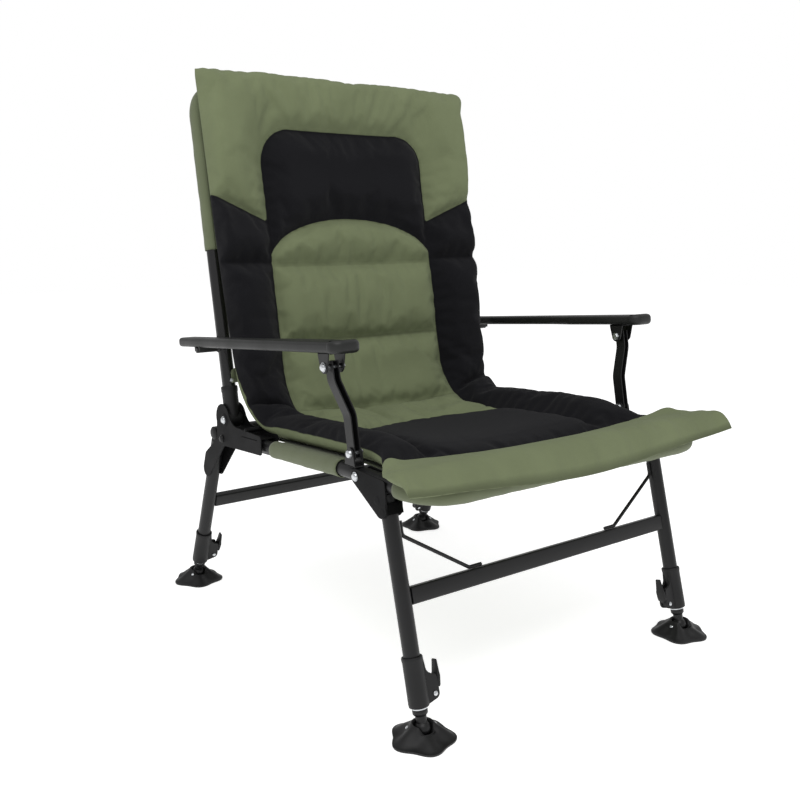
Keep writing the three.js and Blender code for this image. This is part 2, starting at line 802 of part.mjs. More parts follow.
function backPad() {
  const end = backPadEnd;
  const channels = channelRuns.flatMap(aroundSeam);
  const runs = [0, 8, 24, 52, ...aroundSeam(headTopRun), 150, 200, 250, 300, ...channels, 410, 455];
  runs.push(end - 20, end - 7, end);
  const geometry = padBetween(runs.sort((a, b) => a - b), edgeRoll, hipEdgeRoll);
  return geometry.applyMatrix4(backFrame.matrixWorld.clone().invert());
}

function addBackrest() {
  const up = new THREE.Vector3(0, 1, 0);
  const corners = places([
    [-frameHalfWidth, 0, backTubeStart],
    [-frameHalfWidth, 0, backBarHeight],
    [frameHalfWidth, 0, backBarHeight],
    [frameHalfWidth, 0, backTubeStart],
  ]);
  const route = new BentRoute(corners, [backCornerRadius, backCornerRadius], up);
  const pin = within(backFrame, hingeY + linkBack, hingeHeight + linkRise);
  const pinRoot = frameHalfWidth - tubeRadius / 2;
  const pinHoles = sides.map(({ sign }) => {
    const [from, to] = [sign * pinRoot, sign * armOuterX].sort((a, b) => a - b);
    return rod("x", pinHole, from - fit, to + fit).translate(0, pin.y, pin.z);
  });
  const bentTube = sweep(ringShape(tubeRadius, tubeBore), route);
  piece(backFrame, "back_tube", cut(bentTube, ...pinHoles), glossSteel);
  for (const { name, sign } of sides) {
    const middle = sign * frameHalfWidth;
    piece(backFrame, "back_socket_" + name, backSocket(middle), blackPlastic);
    const [from, to] = [sign * pinRoot, sign * armOuterX].sort((a, b) => a - b);
    const armPin = rod("x", pinRadius, from, to).translate(0, pin.y, pin.z);
    piece(backFrame, "arm_pin_" + name, armPin, paintedSteel);
  }
}

function backSocket(middle) {
  const eye = crossRod(eyeRadius, middle, socketRadius, 0, 0, tubeFacets);
  const sleeve = rod("z", socketRadius, fit, socketTop, tubeFacets).translate(middle, 0, 0);
  const bore = rod("z", boreRound(tubeRadius), backTubeStart - fit, socketTop + cutOverrun, tubeFacets);
  return cut(
    join(eye, sleeve),
    bore.translate(middle, 0, 0),
    crossRod(boltHole, middle, socketRadius + cutOverrun, 0, 0),
  );
}

// The cloth back hangs behind the pad, with a hood over the upper part of the back tube.
const hoodStart = 314;
const backClothFront = tubeRadius + 2 * fit + slingThickness;

function backSagAt(height, x) {
  return backSag * smooth((backBarHeight - height) / backSagRun) * hangAcross(x);
}

function backCloth() {
  const heights = [67, 90, 100, 180, 240, 300, 318, 380, 430, 460, 490, 520, 550, 580, backBarHeight];
  const narrow = frameHalfWidth - backClothInset;
  const halfWidths = [[90, frameHalfWidth], [100, narrow], [300, narrow], [318, frameHalfWidth]];
  const columns = 9;
  const surface = (lift) => (i, j) => {
    const height = heights[j];
    const x = read(halfWidths, height) * (1 - (2 * i) / (columns - 1));
    return [x, backSagAt(height, x) - backClothFront + lift, height];
  };
  const sheet = shell(columns, heights.length, surface(slingThickness), surface(0));
  const up = new THREE.Vector3(0, 1, 0);
  const corners = places([
    [-frameHalfWidth, 0, hoodStart],
    [-frameHalfWidth, 0, backBarHeight],
    [frameHalfWidth, 0, backBarHeight],
    [frameHalfWidth, 0, hoodStart],
  ]);
  const radii = [backCornerRadius, backCornerRadius];
  const hood = sweep(ringShape(backClothFront - fit, tubeRadius + fit), new BentRoute(corners, radii, up));
  return join(sheet, hood);
}

// Leg frames. Each stands in its own leaning frame, whose origin is between its two ankle balls.
function addLegFrame(frame, end) {
  const { label, stopHeight, barHeight, pivotY, pivotHeight } = end;
  const lean = frame.rotation.x;
  const along = (height) => (height - ankleHeight) / Math.cos(lean);
  const legTop = along(stopHeight) + tubeRadius;
  const bar = along(barHeight);
  const stop = block(
    [-armOuterX, armOuterX],
    [-footY, footY],
    [0, linkRise],
  );
  const stopFrom = within(frame, frame.position.y, stopHeight);
  stop.rotateX(-lean).translate(0, stopFrom.y, stopFrom.z);
  const pivot = within(frame, pivotY, pivotHeight);

  const half = frameHalfWidth - tubeRadius - fit;
  const barRoute = new BentRoute(places([[-half, 0, bar], [half, 0, bar]]), [], new THREE.Vector3(0, 1, 0));
  const barShape = roundedBox(crossbarDepth, crossbarHeight, tubeWall * 2);
  const barInside = roundedBox(crossbarDepth - 2 * crossbarWall, crossbarHeight - 2 * crossbarWall, tubeWall);
  barShape.holes.push(new THREE.Path(barInside.getPoints().reverse()));
  piece(frame, label + "_crossbar", sweep(barShape, barRoute), paintedSteel);

  for (const { name, sign } of sides) {
    const middle = sign * frameHalfWidth;
    const tube = straightTube(tubeRadius, tubeBore, [middle, 0, collarStep], [middle, 0, legTop]);
    piece(frame, label + "_leg_tube_" + name, cut(tube, stop), paintedSteel);
    const gusset = end.gusset(middle, pivot, along, stop);
    piece(frame, label + "_leg_gusset_" + name, gusset, paintedSteel);
    if (end.brace) piece(frame, "leg_brace_" + name, legBrace(sign, bar, along), paintedSteel);
    piece(frame, label + "_leg_collar_" + name, legCollar(sign), blackPlastic);
    piece(frame, label + "_collar_lever_" + name, collarLever(sign), blackPlastic);
    piece(frame, label + "_inner_leg_" + name, innerLeg(middle), paintedSteel);
    const place = [middle, frame.position.y, 0];
    piece(chair, label + "_foot_" + name, mudFoot(sign, Math.sign(frame.position.y), place), blackPlastic);
  }
}

// A folded channel: two cheeks beside the rail and the leg, joined by a web round the front of the leg
function frontGusset(middle, pivot, along) {
  const bossRadius = 11.8;
  const legReach = gussetFar;
  const lowest = along(railFrontHeight - 34);
  const highest = along(railFrontHeight - 20);
  const webLow = along(railFrontHeight - 44);
  const noseY = -305;
  const noseRadius = 5;
  const noseDrop = 2.5;
  const nose = within(frontFrame, noseY, railFrontHeight + bossRadius - noseRadius - noseDrop);
  const outline = bandOutline([
    [pivot.y, pivot.z, bossRadius],
    [nose.y, nose.z, noseRadius],
    [0, lowest, legReach],
    [0, highest, legReach],
  ]);
  const web = block(
    [middle - gussetFar, middle + gussetFar],
    [-gussetFar, -gussetNear],
    [webLow, highest - legReach / 2],
  );
  const body = join(...cheeks(outline, middle, gussetNear), web);
  return cut(body, crossRod(boltHole, middle, gussetFar + cutOverrun, pivot.y, pivot.z));
}

// The rear gusset reaches forward from the leg top to its pivot, with its web on the rear of the leg
function rearGusset(middle, pivot, along) {
  const bossRadius = 11;
  const low = along(crossTubeHeight - 78);
  const high = along(crossTubeHeight - 54);
  const outline = bandOutline([
    [pivot.y, pivot.z, bossRadius],
    [0, low, gussetFar],
    [0, high, gussetFar],
  ]);
  const web = block([middle - gussetFar, middle + gussetFar], [gussetNear, gussetFar], [low, high]);
  const body = join(...cheeks(outline, middle, gussetNear), web);
  return cut(body, crossRod(boltHole, middle, gussetFar + cutOverrun, pivot.y, pivot.z));
}

function legBrace(sign, bar, along) {
  const seat = bar + crossbarHeight / 2 + braceRadius + fit;
  const legX = frameHalfWidth - tubeRadius - braceRadius - fit;
  const top = along(braceHeight);
  const corners = places([
    [sign * (braceFootX - braceFootLength), 0, seat],
    [sign * braceFootX, 0, seat],
    [sign * legX, 0, top - braceEndLength],
    [sign * legX, 0, top],
  ]);
  const route = new BentRoute(corners, [braceBendRadius, braceBendRadius], new THREE.Vector3(0, 1, 0));
  return sweep(ringShape(braceRadius, 0, 8), route);
}

// A sheet in the x-z plane from y = near to y = near + thickness. Outlines are lists of [x, z].
function frontSheet(outline, near, thickness) {
  return sideSheet(outline, near, thickness).applyMatrix4(
    new THREE.Matrix4().makeBasis(
      new THREE.Vector3(0, -1, 0),
      new THREE.Vector3(1, 0, 0),
      new THREE.Vector3(0, 0, 1),
    ),
  );
}

// The plastic clamp that holds the inner leg, with two ears for its lever on the side facing the other leg
function legCollar(sign) {
  const middle = sign * frameHalfWidth;
  const pivotX = middle - sign * leverPivotX;
  const pivotZ = collarBottom - earRadius + leverPivotRise / 2;
  const body = rod("z", collarRadius, collarBottom, collarTop, tubeFacets).translate(middle, 0, 0);
  const rootRadius = collarRadius - 3 * fit;
  const ear = bandOutline([
    [middle, pivotZ, rootRadius - earRadius / 4],
    [middle, (collarBottom + collarTop) / 2 + earRadius, rootRadius - earRadius / 2],
    [pivotX, pivotZ, earRadius],
  ]);
  const ears = [earGap / 2, -earGap / 2 - earThickness].map((near) => frontSheet(ear, near, earThickness));
  const pinPlay = boltRadius - 1 + fit;
  const pinHoleRod = rod("y", pinPlay, -collarRadius, collarRadius).translate(pivotX, 0, pivotZ);
  const tubeSeat = rod("z", boreRound(tubeRadius), collarStep - fit, collarTop + cutOverrun, tubeFacets);
  const legSeat = rod("z", innerLegRadius + fit, collarBottom - cutOverrun, collarTop, tubeFacets);
  return cut(
    join(body, ...ears),
    tubeSeat.translate(middle, 0, 0),
    legSeat.translate(middle, 0, 0),
    pinHoleRod,
  );
}

function collarLever(sign) {
  const middle = sign * frameHalfWidth;
  const inward = -sign;
  const pivotX = middle + inward * leverPivotX;
  const pivotZ = collarBottom - earRadius + leverPivotRise / 2;
  const hubRadius = earRadius - 1.5;
  const shoulder = [pivotX + inward * leverWidth * 0.42, pivotZ + leverWidth, leverThickness - 0.5];
  const tip = [pivotX + inward * leverWidth * 0.84, leverTip, leverThickness - 1];
  const hubHalf = earGap / 2 - fit;
  const hub = frontSheet(bandOutline([[pivotX, pivotZ, hubRadius], shoulder]), -hubHalf, 2 * hubHalf);
  const arm = frontSheet(bandOutline([shoulder, tip]), -leverWidth / 2, leverWidth);
  const pinReach = earGap / 2 + earThickness + fit;
  const pin = rod("y", boltRadius - 1, -pinReach, pinReach).translate(pivotX, 0, pivotZ);
  return join(hub, arm, pin);
}

// The inner leg is a tube closed by a ferrule and a neck that ends in the ankle ball.
function innerLeg(middle) {
  const bore = innerLegRadius - innerLegWall;
  const profile = [[0, -ballRadius]];
  const arcSteps = 6;
  const neckAngle = Math.asin(neckRadius / ballRadius);
  for (let i = 1; i <= arcSteps; i += 1) {
    const turn = Math.PI - ((Math.PI - neckAngle) * i) / arcSteps;
    profile.push([ballRadius * Math.sin(turn), ballRadius * Math.cos(turn)]);
  }
  profile.push(
    [neckRadius, neckTop],
    [ferruleRadius, neckTop],
    [ferruleRadius, ferruleTop],
    [innerLegRadius, ferruleTop],
    [innerLegRadius, innerLegTop],
    [bore, innerLegTop],
    [bore, ferruleTop],
    [0, ferruleTop],
  );
  const points = profile.map(([radius, height]) => new THREE.Vector2(radius, height));
  return new THREE.LatheGeometry(points, tubeFacets).rotateX(Math.PI / 2).translate(middle, 0, 0);
}

// A broad foot with a waved skirt, rising to a cup for the ankle ball
function mudFoot(signX, signY, place) {
  const rings = [
    [footHubRadius * 0.86, footHubHeight, 0],
    [footHubRadius, footHubHeight - 2, 0],
    [footHubRadius + 5, footShoulder, 1.5],
    [footRadius * 0.74, footShoulder * 0.62, 2.2],
    [footRadius, footSkirt, 0],
    [footRadius, 0, 0],
  ];
  const lobes = 5;
  const points = [[0, 0, footHubHeight]];
  rings.forEach(([radius, height, wave]) => {
    for (let i = 0; i < footFacets; i += 1) {
      const turn = (i / footFacets) * 2 * Math.PI;
      const waved = Math.cos(lobes * turn);
      const reach = radius * (1 - (radius > footHubRadius + 6 ? footWaveShare * (1 - waved) : 0));
      points.push([signX * reach * Math.cos(turn), signY * reach * Math.sin(turn), height + wave * waved]);
    }
  });
  points.push([0, 0, 0]);
  const faces = [];
  const face = (a, b, c) => faces.push(...(signX * signY > 0 ? [a, b, c] : [a, c, b]));
  const at = (ring, i) => 1 + ring * footFacets + (i % footFacets);
  for (let i = 0; i < footFacets; i += 1) {
    face(0, at(0, i), at(0, i + 1));
    for (let ring = 0; ring < rings.length - 1; ring += 1) {
      face(at(ring, i), at(ring + 1, i), at(ring + 1, i + 1));
      face(at(ring, i), at(ring + 1, i + 1), at(ring, i + 1));
    }
    face(at(rings.length - 1, i), points.length - 1, at(rings.length - 1, i + 1));
  }
  const pad = new THREE.BufferGeometry();
  pad.setAttribute("position", new THREE.Float32BufferAttribute(points.flat(), 3));
  pad.setIndex(faces);
  const socket = new THREE.SphereGeometry(ballRadius + socketPlay, 12, 6).translate(0, 0, ankleHeight);
  const coneHeight = footHubHeight - ankleHeight - socketRim + cutOverrun;
  const coneLow = Math.sqrt((ballRadius + socketPlay) ** 2 - socketRim ** 2) - fit;
  const flare = ((footConeRadius - coneLow) * coneHeight) / (coneHeight - cutOverrun);
  const cone = new THREE.CylinderGeometry(coneLow + flare, coneLow, coneHeight, tubeFacets).rotateX(Math.PI / 2);
  cone.translate(0, 0, ankleHeight + socketRim + coneHeight / 2);
  return cut(pad, socket, cone).translate(...place);
}

// Armrest linkage
function addArm({ name, sign }) {
  const lean = [
    [strutFootX, -strutEnd],
    [strutFootX, strutBendLow],
    [strutTopX, strutBendHigh],
    [strutTopX, linkLength + strutEnd],
  ];
  const corners = places(lean.map(([x, z]) => [sign * x, 0, z]));
  const route = new BentRoute(corners, [strutBendRadius, strutBendRadius], new THREE.Vector3(1, 0, 0));
  const bar = sweep(roundedBox(strutWidth, strutDepth, strutWidth * 0.4), route);
  const strut = cut(
    bar,
    crossRod(boltHole, sign * strutFootX, strutWidth, 0, 0),
    crossRod(boltHole, sign * strutTopX, strutWidth, 0, linkLength),
  );
  piece(strutFrame, "arm_strut_" + name, strut, paintedSteel);

  const underside = armAxisRise - armThickness / 2;
  piece(armFrame, "armrest_" + name, armrest(sign, underside), armPlastic);

  const near = strutWidth / 2 + bracketPlay;
  const middle = sign * strutTopX;
  const top = underside - fit;
  const plateHalf = strutDepth * 0.75;
  const eye = strutDepth / 2;
  const outline = bandOutline([
    [0, 0, eye],
    [plateHalf - sheetThickness, top - sheetThickness, sheetThickness],
    [sheetThickness - plateHalf, top - sheetThickness, sheetThickness],
  ]);
  const far = near + sheetThickness;
  const plate = block([middle - far, middle + far], [-plateHalf, plateHalf], [top - sheetThickness, top]);
  const bracket = cut(
    join(...cheeks(outline, middle, near), plate),
    crossRod(boltHole, middle, far + cutOverrun, 0, 0),
  );
  piece(armFrame, "arm_bracket_" + name, bracket, paintedSteel);
  piece(armFrame, "arm_bolt_" + name, bolt(middle, sign, far, 0, 0), zincSteel);
}

const strutEnd = 9;
const bracketPlay = 7;
const armAxisHeight = armFrontHeight + Math.tan(armSlope) * (strutFootY + linkBack - armFrontY);
const armAxisRise = (armAxisHeight - strutFootHeight - linkRise) * Math.cos(armSlope);

// A polygon with rounded corners. Corners are [x, y, radius].
function roundedOutline(corners, steps = 3) {
  const count = corners.length;
  return corners.flatMap(([x, y, radius], k) => {
    const at = new THREE.Vector2(x, y);
    const before = new THREE.Vector2(...corners[(k + count - 1) % count]).sub(at).normalize();
    const after = new THREE.Vector2(...corners[(k + 1) % count]).sub(at).normalize();
    if (!radius) return [at];
    const halfAngle = Math.acos(before.dot(after)) / 2;
    const middle = before.clone().add(after).normalize().multiplyScalar(radius / Math.sin(halfAngle)).add(at);
    const reach = radius / Math.tan(halfAngle);
    const from = before.multiplyScalar(reach).add(at).sub(middle);
    const to = after.multiplyScalar(reach).add(at).sub(middle);
    const turn = Math.atan2(from.cross(to), from.dot(to));
    return Array.from({ length: steps + 1 }, (_, i) =>
      from.clone().rotateAround(new THREE.Vector2(), (turn * i) / steps).add(middle),
    );
  });
}

function slab(corners, low, high, edge) {
  const inset = corners.map(([x, y, radius, dx, dy]) => [x + dx * edge, y + dy * edge, radius]);
  const geometry = new THREE.ExtrudeGeometry(new THREE.Shape(roundedOutline(inset)), {
    depth: high - low - 2 * edge,
    bevelThickness: edge,
    bevelSize: edge,
    bevelSegments: 1,
  });
  return geometry.translate(0, 0, low + edge);
}

function armrest(sign, underside) {
  const wideInnerX = strutFootX;
  const waistY = -80;
  const waistEnd = -20;
  const frontRounding = 15;
  const rearRounding = 11;
  const reach = (armRearY - armFrontY) / Math.cos(armSlope);
  const front = (armFrontY - strutFootY - linkBack) / Math.cos(armSlope);
  const rear = front + reach;
  const local = (y) => y - strutFootY - linkBack;
  const board = [
    [sign * armOuterX, front, frontRounding, -sign, 1],
    [sign * armOuterX, rear, rearRounding, -sign, -1],
    [sign * armInnerX, rear, rearRounding, sign, -1],
    [sign * armInnerX, local(waistEnd), 0, sign, 0],
    [sign * wideInnerX, local(waistY), 0, sign, 0],
    [sign * wideInnerX, front, frontRounding, sign, 1],
  ];
  const tip = [
    [sign * (armOuterX + armTipStep / 2), front - armTipStep, frontRounding, -sign, 1],
    [sign * (armOuterX + armTipStep / 2), front + armTipLength, armEdge, -sign, -1],
    [sign * (wideInnerX - armTipStep / 2), front + armTipLength, armEdge, sign, -1],
    [sign * (wideInnerX - armTipStep / 2), front - armTipStep, frontRounding, sign, 1],
  ];
  const wind = (corners) => (sign > 0 ? corners : [...corners].reverse());
  const top = underside + armThickness;
  const body = slab(wind(board), underside, top, armEdge);
  const cap = slab(wind(tip), underside - armTipStep / 2, top + armTipStep / 2, armEdge);
  const pin = within(armFrame, hingeY + linkBack, hingeHeight + linkRise);
  const clipHalf = 11;
  const clipDrop = 7;
  const clipInset = 2;
  const [clipFrom, clipTo] = [sign * (armInnerX + clipInset), sign * (armOuterX - clipInset)].sort((a, b) => a - b);
  const clip = block([clipFrom, clipTo], [pin.y - clipHalf, pin.y + clipHalf], [underside - clipDrop, underside + clipInset]);
  const [holeFrom, holeTo] = [sign * frameHalfWidth, sign * (armOuterX + cutOverrun)].sort((a, b) => a - b);
  const hole = rod("x", pinHole + fit, holeFrom, holeTo).translate(0, pin.y, pin.z);
  return cut(join(body, cap, clip), hole);
}

addSeatFrame();
piece(chair, "seat_sling", seatCloth(), oliveCloth);
piece(chair, "seat_pad", seatPad(), oliveCloth);
addBackrest();
piece(backFrame, "back_sling", backCloth(), oliveCloth);
piece(backFrame, "back_pad", backPad(), blackCloth);
addLegFrame(frontFrame, {
  label: "front",
  stopHeight: railFrontHeight - tubeRadius - fit,
  barHeight: frontCrossbarHeight,
  pivotY: frontPivotY,
  pivotHeight: railFrontHeight,
  gusset: frontGusset,
  brace: true,
});
addLegFrame(rearFrame, {
  label: "rear",
  stopHeight: crossTubeHeight - tubeRadius - fit,
  barHeight: rearCrossbarHeight,
  pivotY: rearPivotY,
  pivotHeight: rearPivotHeight,
  gusset: rearGusset,
  brace: false,
});
sides.forEach(addArm);

export default chair;
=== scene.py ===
import math

import bmesh
import bpy
import numpy as np
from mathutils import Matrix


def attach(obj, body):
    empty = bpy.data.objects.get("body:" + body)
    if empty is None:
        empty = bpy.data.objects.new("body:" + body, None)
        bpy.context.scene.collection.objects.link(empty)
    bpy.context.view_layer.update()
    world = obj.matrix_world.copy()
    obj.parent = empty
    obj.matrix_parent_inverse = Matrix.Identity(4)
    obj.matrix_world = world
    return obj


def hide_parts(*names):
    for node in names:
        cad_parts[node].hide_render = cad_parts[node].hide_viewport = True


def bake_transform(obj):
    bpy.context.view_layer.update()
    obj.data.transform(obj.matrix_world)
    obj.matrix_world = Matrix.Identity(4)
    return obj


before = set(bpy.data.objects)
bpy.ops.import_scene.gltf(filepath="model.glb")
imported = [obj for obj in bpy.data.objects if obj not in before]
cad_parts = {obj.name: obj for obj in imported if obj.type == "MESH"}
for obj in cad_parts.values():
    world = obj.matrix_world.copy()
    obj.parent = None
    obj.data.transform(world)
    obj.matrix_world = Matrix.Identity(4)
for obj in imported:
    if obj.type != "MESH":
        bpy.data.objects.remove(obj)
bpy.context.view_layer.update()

# Sizes are in millimetres, as in the frame's source, and become metres when a mesh is made.
MM = 0.001
SIDES = (("right", -1), ("left", 1))
# Radius of the round frame tubes; from the chair's middle to the axis of each rail, leg and upright.
TUBE = 12.5
HALF = 296.0
# Running clearance, and the thickness of pressed parts.
FIT = 0.3
SHEET = 2.2

RAIL_FRONT, RAIL_BEND_Y, RAIL_SLOPE = 362.0, -200.0, 27.0 / 449.0
BAR_Y = -397.0
CROSS_Y, CROSS_Z, CROSS_REACH = 249.0, 340.0, HALF + 14
HINGE_Y, HINGE_Z = 195.0, 375.0
RECLINE = math.radians(10.5)
BAR_TOP = 612.0
STRUT_X, STRUT_Y, STRUT_Z = 303.0, -222.0, 394.0
# From the strut's foot to its top, and from the hinge to the arm pin: equal, so that the armrest stays level.
LINK = (26.0, 130.0)
LINK_LENGTH = math.hypot(*LINK)
STANDS = {"front": -382.0, "rear": 382.0}
ANKLE_Z = 17.0
LEAN = {"front": -math.radians(14.8), "rear": math.radians(21.5)}


def rail_z(y):
    return RAIL_FRONT - RAIL_SLOPE * np.maximum(0.0, y - RAIL_BEND_Y)


PIVOT = {"front": (-236.0, RAIL_FRONT), "rear": (207.0, float(rail_z(207.0)))}


def smooth(t):
    t = np.clip(t, 0.0, 1.0)
    return t * t * (3 - 2 * t)


# Frames: each is a place in the y-z plane whose own z axis leans about x.


def leaning(y0, z0, lean, mirror=1):
    """Points in a leaning frame, x outwards, become points of the chair: x times the side's sign, y and z
    turned by the lean and moved to the frame's place."""
    c, s = math.cos(lean), math.sin(lean)

    def to_chair(p):
        p = np.asarray(p, float)
        y, z = c * p[..., 1] - s * p[..., 2], s * p[..., 1] + c * p[..., 2]
        return np.stack([p[..., 0] * mirror, y0 + y, z0 + z], -1)

    return to_chair


def back_frame(mirror=1):
    return leaning(HINGE_Y, HINGE_Z, -RECLINE, mirror)


def leg_frame(end, mirror=1):
    return leaning(STANDS[end], ANKLE_Z, LEAN[end], mirror)


def into(end, y, z):
    """The place in a leg's own frame of a place in the y-z plane: moved back, then turned back."""
    dy, dz = y - STANDS[end], z - ANKLE_Z
    c, s = math.cos(LEAN[end]), math.sin(LEAN[end])
    return c * dy + s * dz, -s * dy + c * dz


# Surfaces: each part is its points, its quads and its polygons.


def grid(points, wrap=False):
    """A sheet of quads over a grid of points; wrap joins the last column to the first."""
    rows, columns = points.shape[:2]
    i = np.arange(rows - 1)[:, None]
    j = np.arange(columns if wrap else columns - 1)[None]
    k = (j + 1) % columns
    quads = np.stack([i * columns + j, i * columns + k, (i + 1) * columns + k, (i + 1) * columns + j], -1)
    return points.reshape(-1, 3), quads.reshape(-1, 4), []


def merge(*parts):
    points = np.vstack([p for p, _, _ in parts])
    starts = np.cumsum([0] + [len(p) for p, _, _ in parts[:-1]])
    quads = np.vstack([np.asarray(q, int).reshape(-1, 4) + s for (_, q, _), s in zip(parts, starts)])
    polygons = [np.asarray(f) + s for (_, _, fs), s in zip(parts, starts) for f in fs]
    return points, quads, polygons


def moved(part, to_chair):
    return to_chair(part[0]), part[1], part[2]


def shifted(part, x=0.0, y=0.0, z=0.0):
    return part[0] + [x, y, z], part[1], part[2]


def sided(part, sign):
    """The part on its side of the chair: x times the side's sign."""
    return part[0] * [sign, 1, 1], part[1], part[2]


def capped(points):
    """A closed tube from a grid of rings: the rings joined, with a flat face over each end."""
    part = grid(points, wrap=True)
    count, columns = points.shape[0], points.shape[1]
    ends = [np.arange(columns), np.arange(columns) + (count - 1) * columns]
    return part[0], part[1], ends


def line(corners, radii=(), step=9.0, count=None):
    """A path of straight runs joined by arcs, each with a point every few degrees or with count points. At a
    corner the arc touches both runs at radius * tan(bend / 2) from it, and turns about a centre one radius
    away."""
    corners = [np.array(c, float) for c in corners]
    path = [corners[0]]
    for i, radius in zip(range(1, len(corners) - 1), radii):
        before = (corners[i] - corners[i - 1]) / np.linalg.norm(corners[i] - corners[i - 1])
        after = (corners[i + 1] - corners[i]) / np.linalg.norm(corners[i + 1] - corners[i])
        bend = math.acos(np.clip(before @ after, -1, 1))
        inward = after - before * (after @ before)
        inward /= np.linalg.norm(inward)
        start = corners[i] - before * radius * math.tan(bend / 2)
        turns = np.linspace(0, bend, count or max(3, int(math.degrees(bend) / step) + 2))[:, None]
        path.extend(start + before * radius * np.sin(turns) + inward * radius * (1 - np.cos(turns)))
    path.append(corners[-1])
    return np.array(path)


def lengths(path):
    """How far along a path each of its points lies."""
    return np.concatenate([[0], np.cumsum(np.linalg.norm(np.diff(path, axis=0), axis=1))])


def sweep(path, section, up, scale=None):
    """A section carried along a path. At each point the section's x axis is up made square to the path, and
    its y axis is the path's direction cross that; scale grows or shrinks it along the way."""
    tangent = np.gradient(path, axis=0)
    tangent /= np.linalg.norm(tangent, axis=1, keepdims=True)
    up = np.array(up, float)
    x = up - (tangent @ up)[:, None] * tangent
    x /= np.linalg.norm(x, axis=1, keepdims=True)
    y = np.cross(tangent, x)
    scale = np.ones((len(path), 2)) if scale is None else scale
    wide, high = section[None, :, :1] * scale[:, None, :1], section[None, :, 1:] * scale[:, None, 1:]
    return path[:, None] + x[:, None] * wide + y[:, None] * high


def circle(radius, count=28):
    turn = np.arange(count) / count * 2 * np.pi
    return radius * np.stack([np.cos(turn), np.sin(turn)], -1)


def arc(y, z, radius, start, end, count):
    """Points of an arc round (y, z), from one turn to another."""
    turn = np.linspace(start, end, count)
    return np.stack([y + radius * np.cos(turn), z + radius * np.sin(turn)], -1)


def rounded_box(width, height, corner, steps=5):
    """A rectangle whose corners are quarter circles."""
    out = []
    for k, (sx, sy) in enumerate(((1, 1), (-1, 1), (-1, -1), (1, -1))):
        y, z = sx * (width / 2 - corner), sy * (height / 2 - corner)
        out.append(arc(y, z, corner, k * np.pi / 2, (k + 1) * np.pi / 2, steps))
    return np.vstack(out)


def lathe(profile, count=36, axis="z", start=0.0):
    """A profile of (radius, height) turned about an axis, its heights counted from start; its first and last
    points lie on the axis or close it."""
    profile = np.array(profile, float)
    flat = circle(1, count)[None] * profile[:, :1, None]
    height = np.broadcast_to(profile[:, 1:, None] + start, flat.shape[:2] + (1,))
    order = {"z": (0, 1, 2), "x": (2, 0, 1), "y": (1, 2, 0)}[axis]
    return capped(np.concatenate([flat, height], -1)[..., order])


def ring(profile, count):
    """A wall turned about z: its profile ends where it starts, so it needs no end faces."""
    return lathe([*profile, profile[0]], count)[:2] + ([],)


def band(discs, count=72):
    """The outline of a band stretched round discs of (y, z, radius): the hull of their circles."""
    points = np.vstack([circle(r, count) + [y, z] for y, z, r in discs])
    points = points[np.lexsort((points[:, 1], points[:, 0]))]

    def chain(sequence):
        out = []
        for p in sequence:
            while len(out) > 1 and np.cross(out[-1] - out[-2], p - out[-2]) <= 1e-9:
                out.pop()
            out.append(p)
        return out[:-1]

    return np.array(chain(points) + chain(points[::-1]))


def plate(outline, near, thickness=SHEET):
    """A flat sheet cut to an outline of (y, z), from x = near outwards."""
    rings = np.zeros((2, len(outline), 3))
    rings[:, :, 1:] = outline
    rings[0, :, 0], rings[1, :, 0] = near, near + thickness
    return capped(rings)


def block(x, y, z, corner=0.6):
    section = rounded_box(x[1] - x[0], y[1] - y[0], corner, 3) + [(x[0] + x[1]) / 2, (y[0] + y[1]) / 2]
    points = np.zeros((2, len(section), 3))
    points[:, :, :2] = section
    points[0, :, 2], points[1, :, 2] = z
    return capped(points)


# Making the pieces.


def make_mesh(name, part):
    points, quads, polygons = part
    mesh = bpy.data.meshes.new(name)
    faces = [tuple(f) for f in quads.tolist()] + [tuple(int(i) for i in f) for f in polygons]
    mesh.from_pydata((points * MM).tolist(), [], faces)
    mesh.update()
    return mesh


def outward(mesh):
    """Closes the seams and turns the faces out; a signed volume below zero turns them all over."""
    b = bmesh.new()
    b.from_mesh(mesh)
    bmesh.ops.remove_doubles(b, verts=b.verts, dist=1e-6)
    bmesh.ops.recalc_face_normals(b, faces=b.faces)
    if b.calc_volume(signed=True) < 0:
        bmesh.ops.reverse_faces(b, faces=b.faces)
    b.to_mesh(mesh)
    b.free()


def placed(mesh, material):
    """The object of a mesh, at the origin, in its material."""
    mesh.materials.append(material)
    mesh.shade_smooth()
    made = bpy.data.objects.new(mesh.name, mesh)
    bpy.context.scene.collection.objects.link(made)
    return made


def piece(name, part, finish, body, bevel=0.0, sharp=38.0, added=False):
    """A piece in its finish, riding on its body. The first half of its name is the node that it stands for,
    the second how it is made; an added piece stands for none."""
    mesh = make_mesh(name, part)
    outward(mesh)
    made = placed(mesh, finish[0])
    mesh.set_sharp_from_angle(angle=math.radians(sharp))
    if bevel:
        soften = made.modifiers.new("softened_edges", "BEVEL")
        soften.width, soften.segments = bevel * MM, 2
        soften.limit_method, soften.angle_limit = "ANGLE", math.radians(40)
        soften.harden_normals = True
    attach(made, body)
    if not added:
        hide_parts(name.split(".")[0])


# Materials: each finish is its material and the name of a slot, which no piece here uses.

RANGE = ("From Min", "From Max", "To Min", "To Max")
# Orange peel and mould grain stand this far off the surface, in metres.
GRAIN_DEPTH = 0.0004
THREAD_DEPTH, PUCKER_DEPTH = 0.0003, 0.0008
# The real thread is 0.4 mm; it is drawn at this width in millimetres so that it shows.
THREAD = 1.6
OLIVE, SLING_OLIVE, BLACK = "#6b7356", "#5e654c", "#121215"


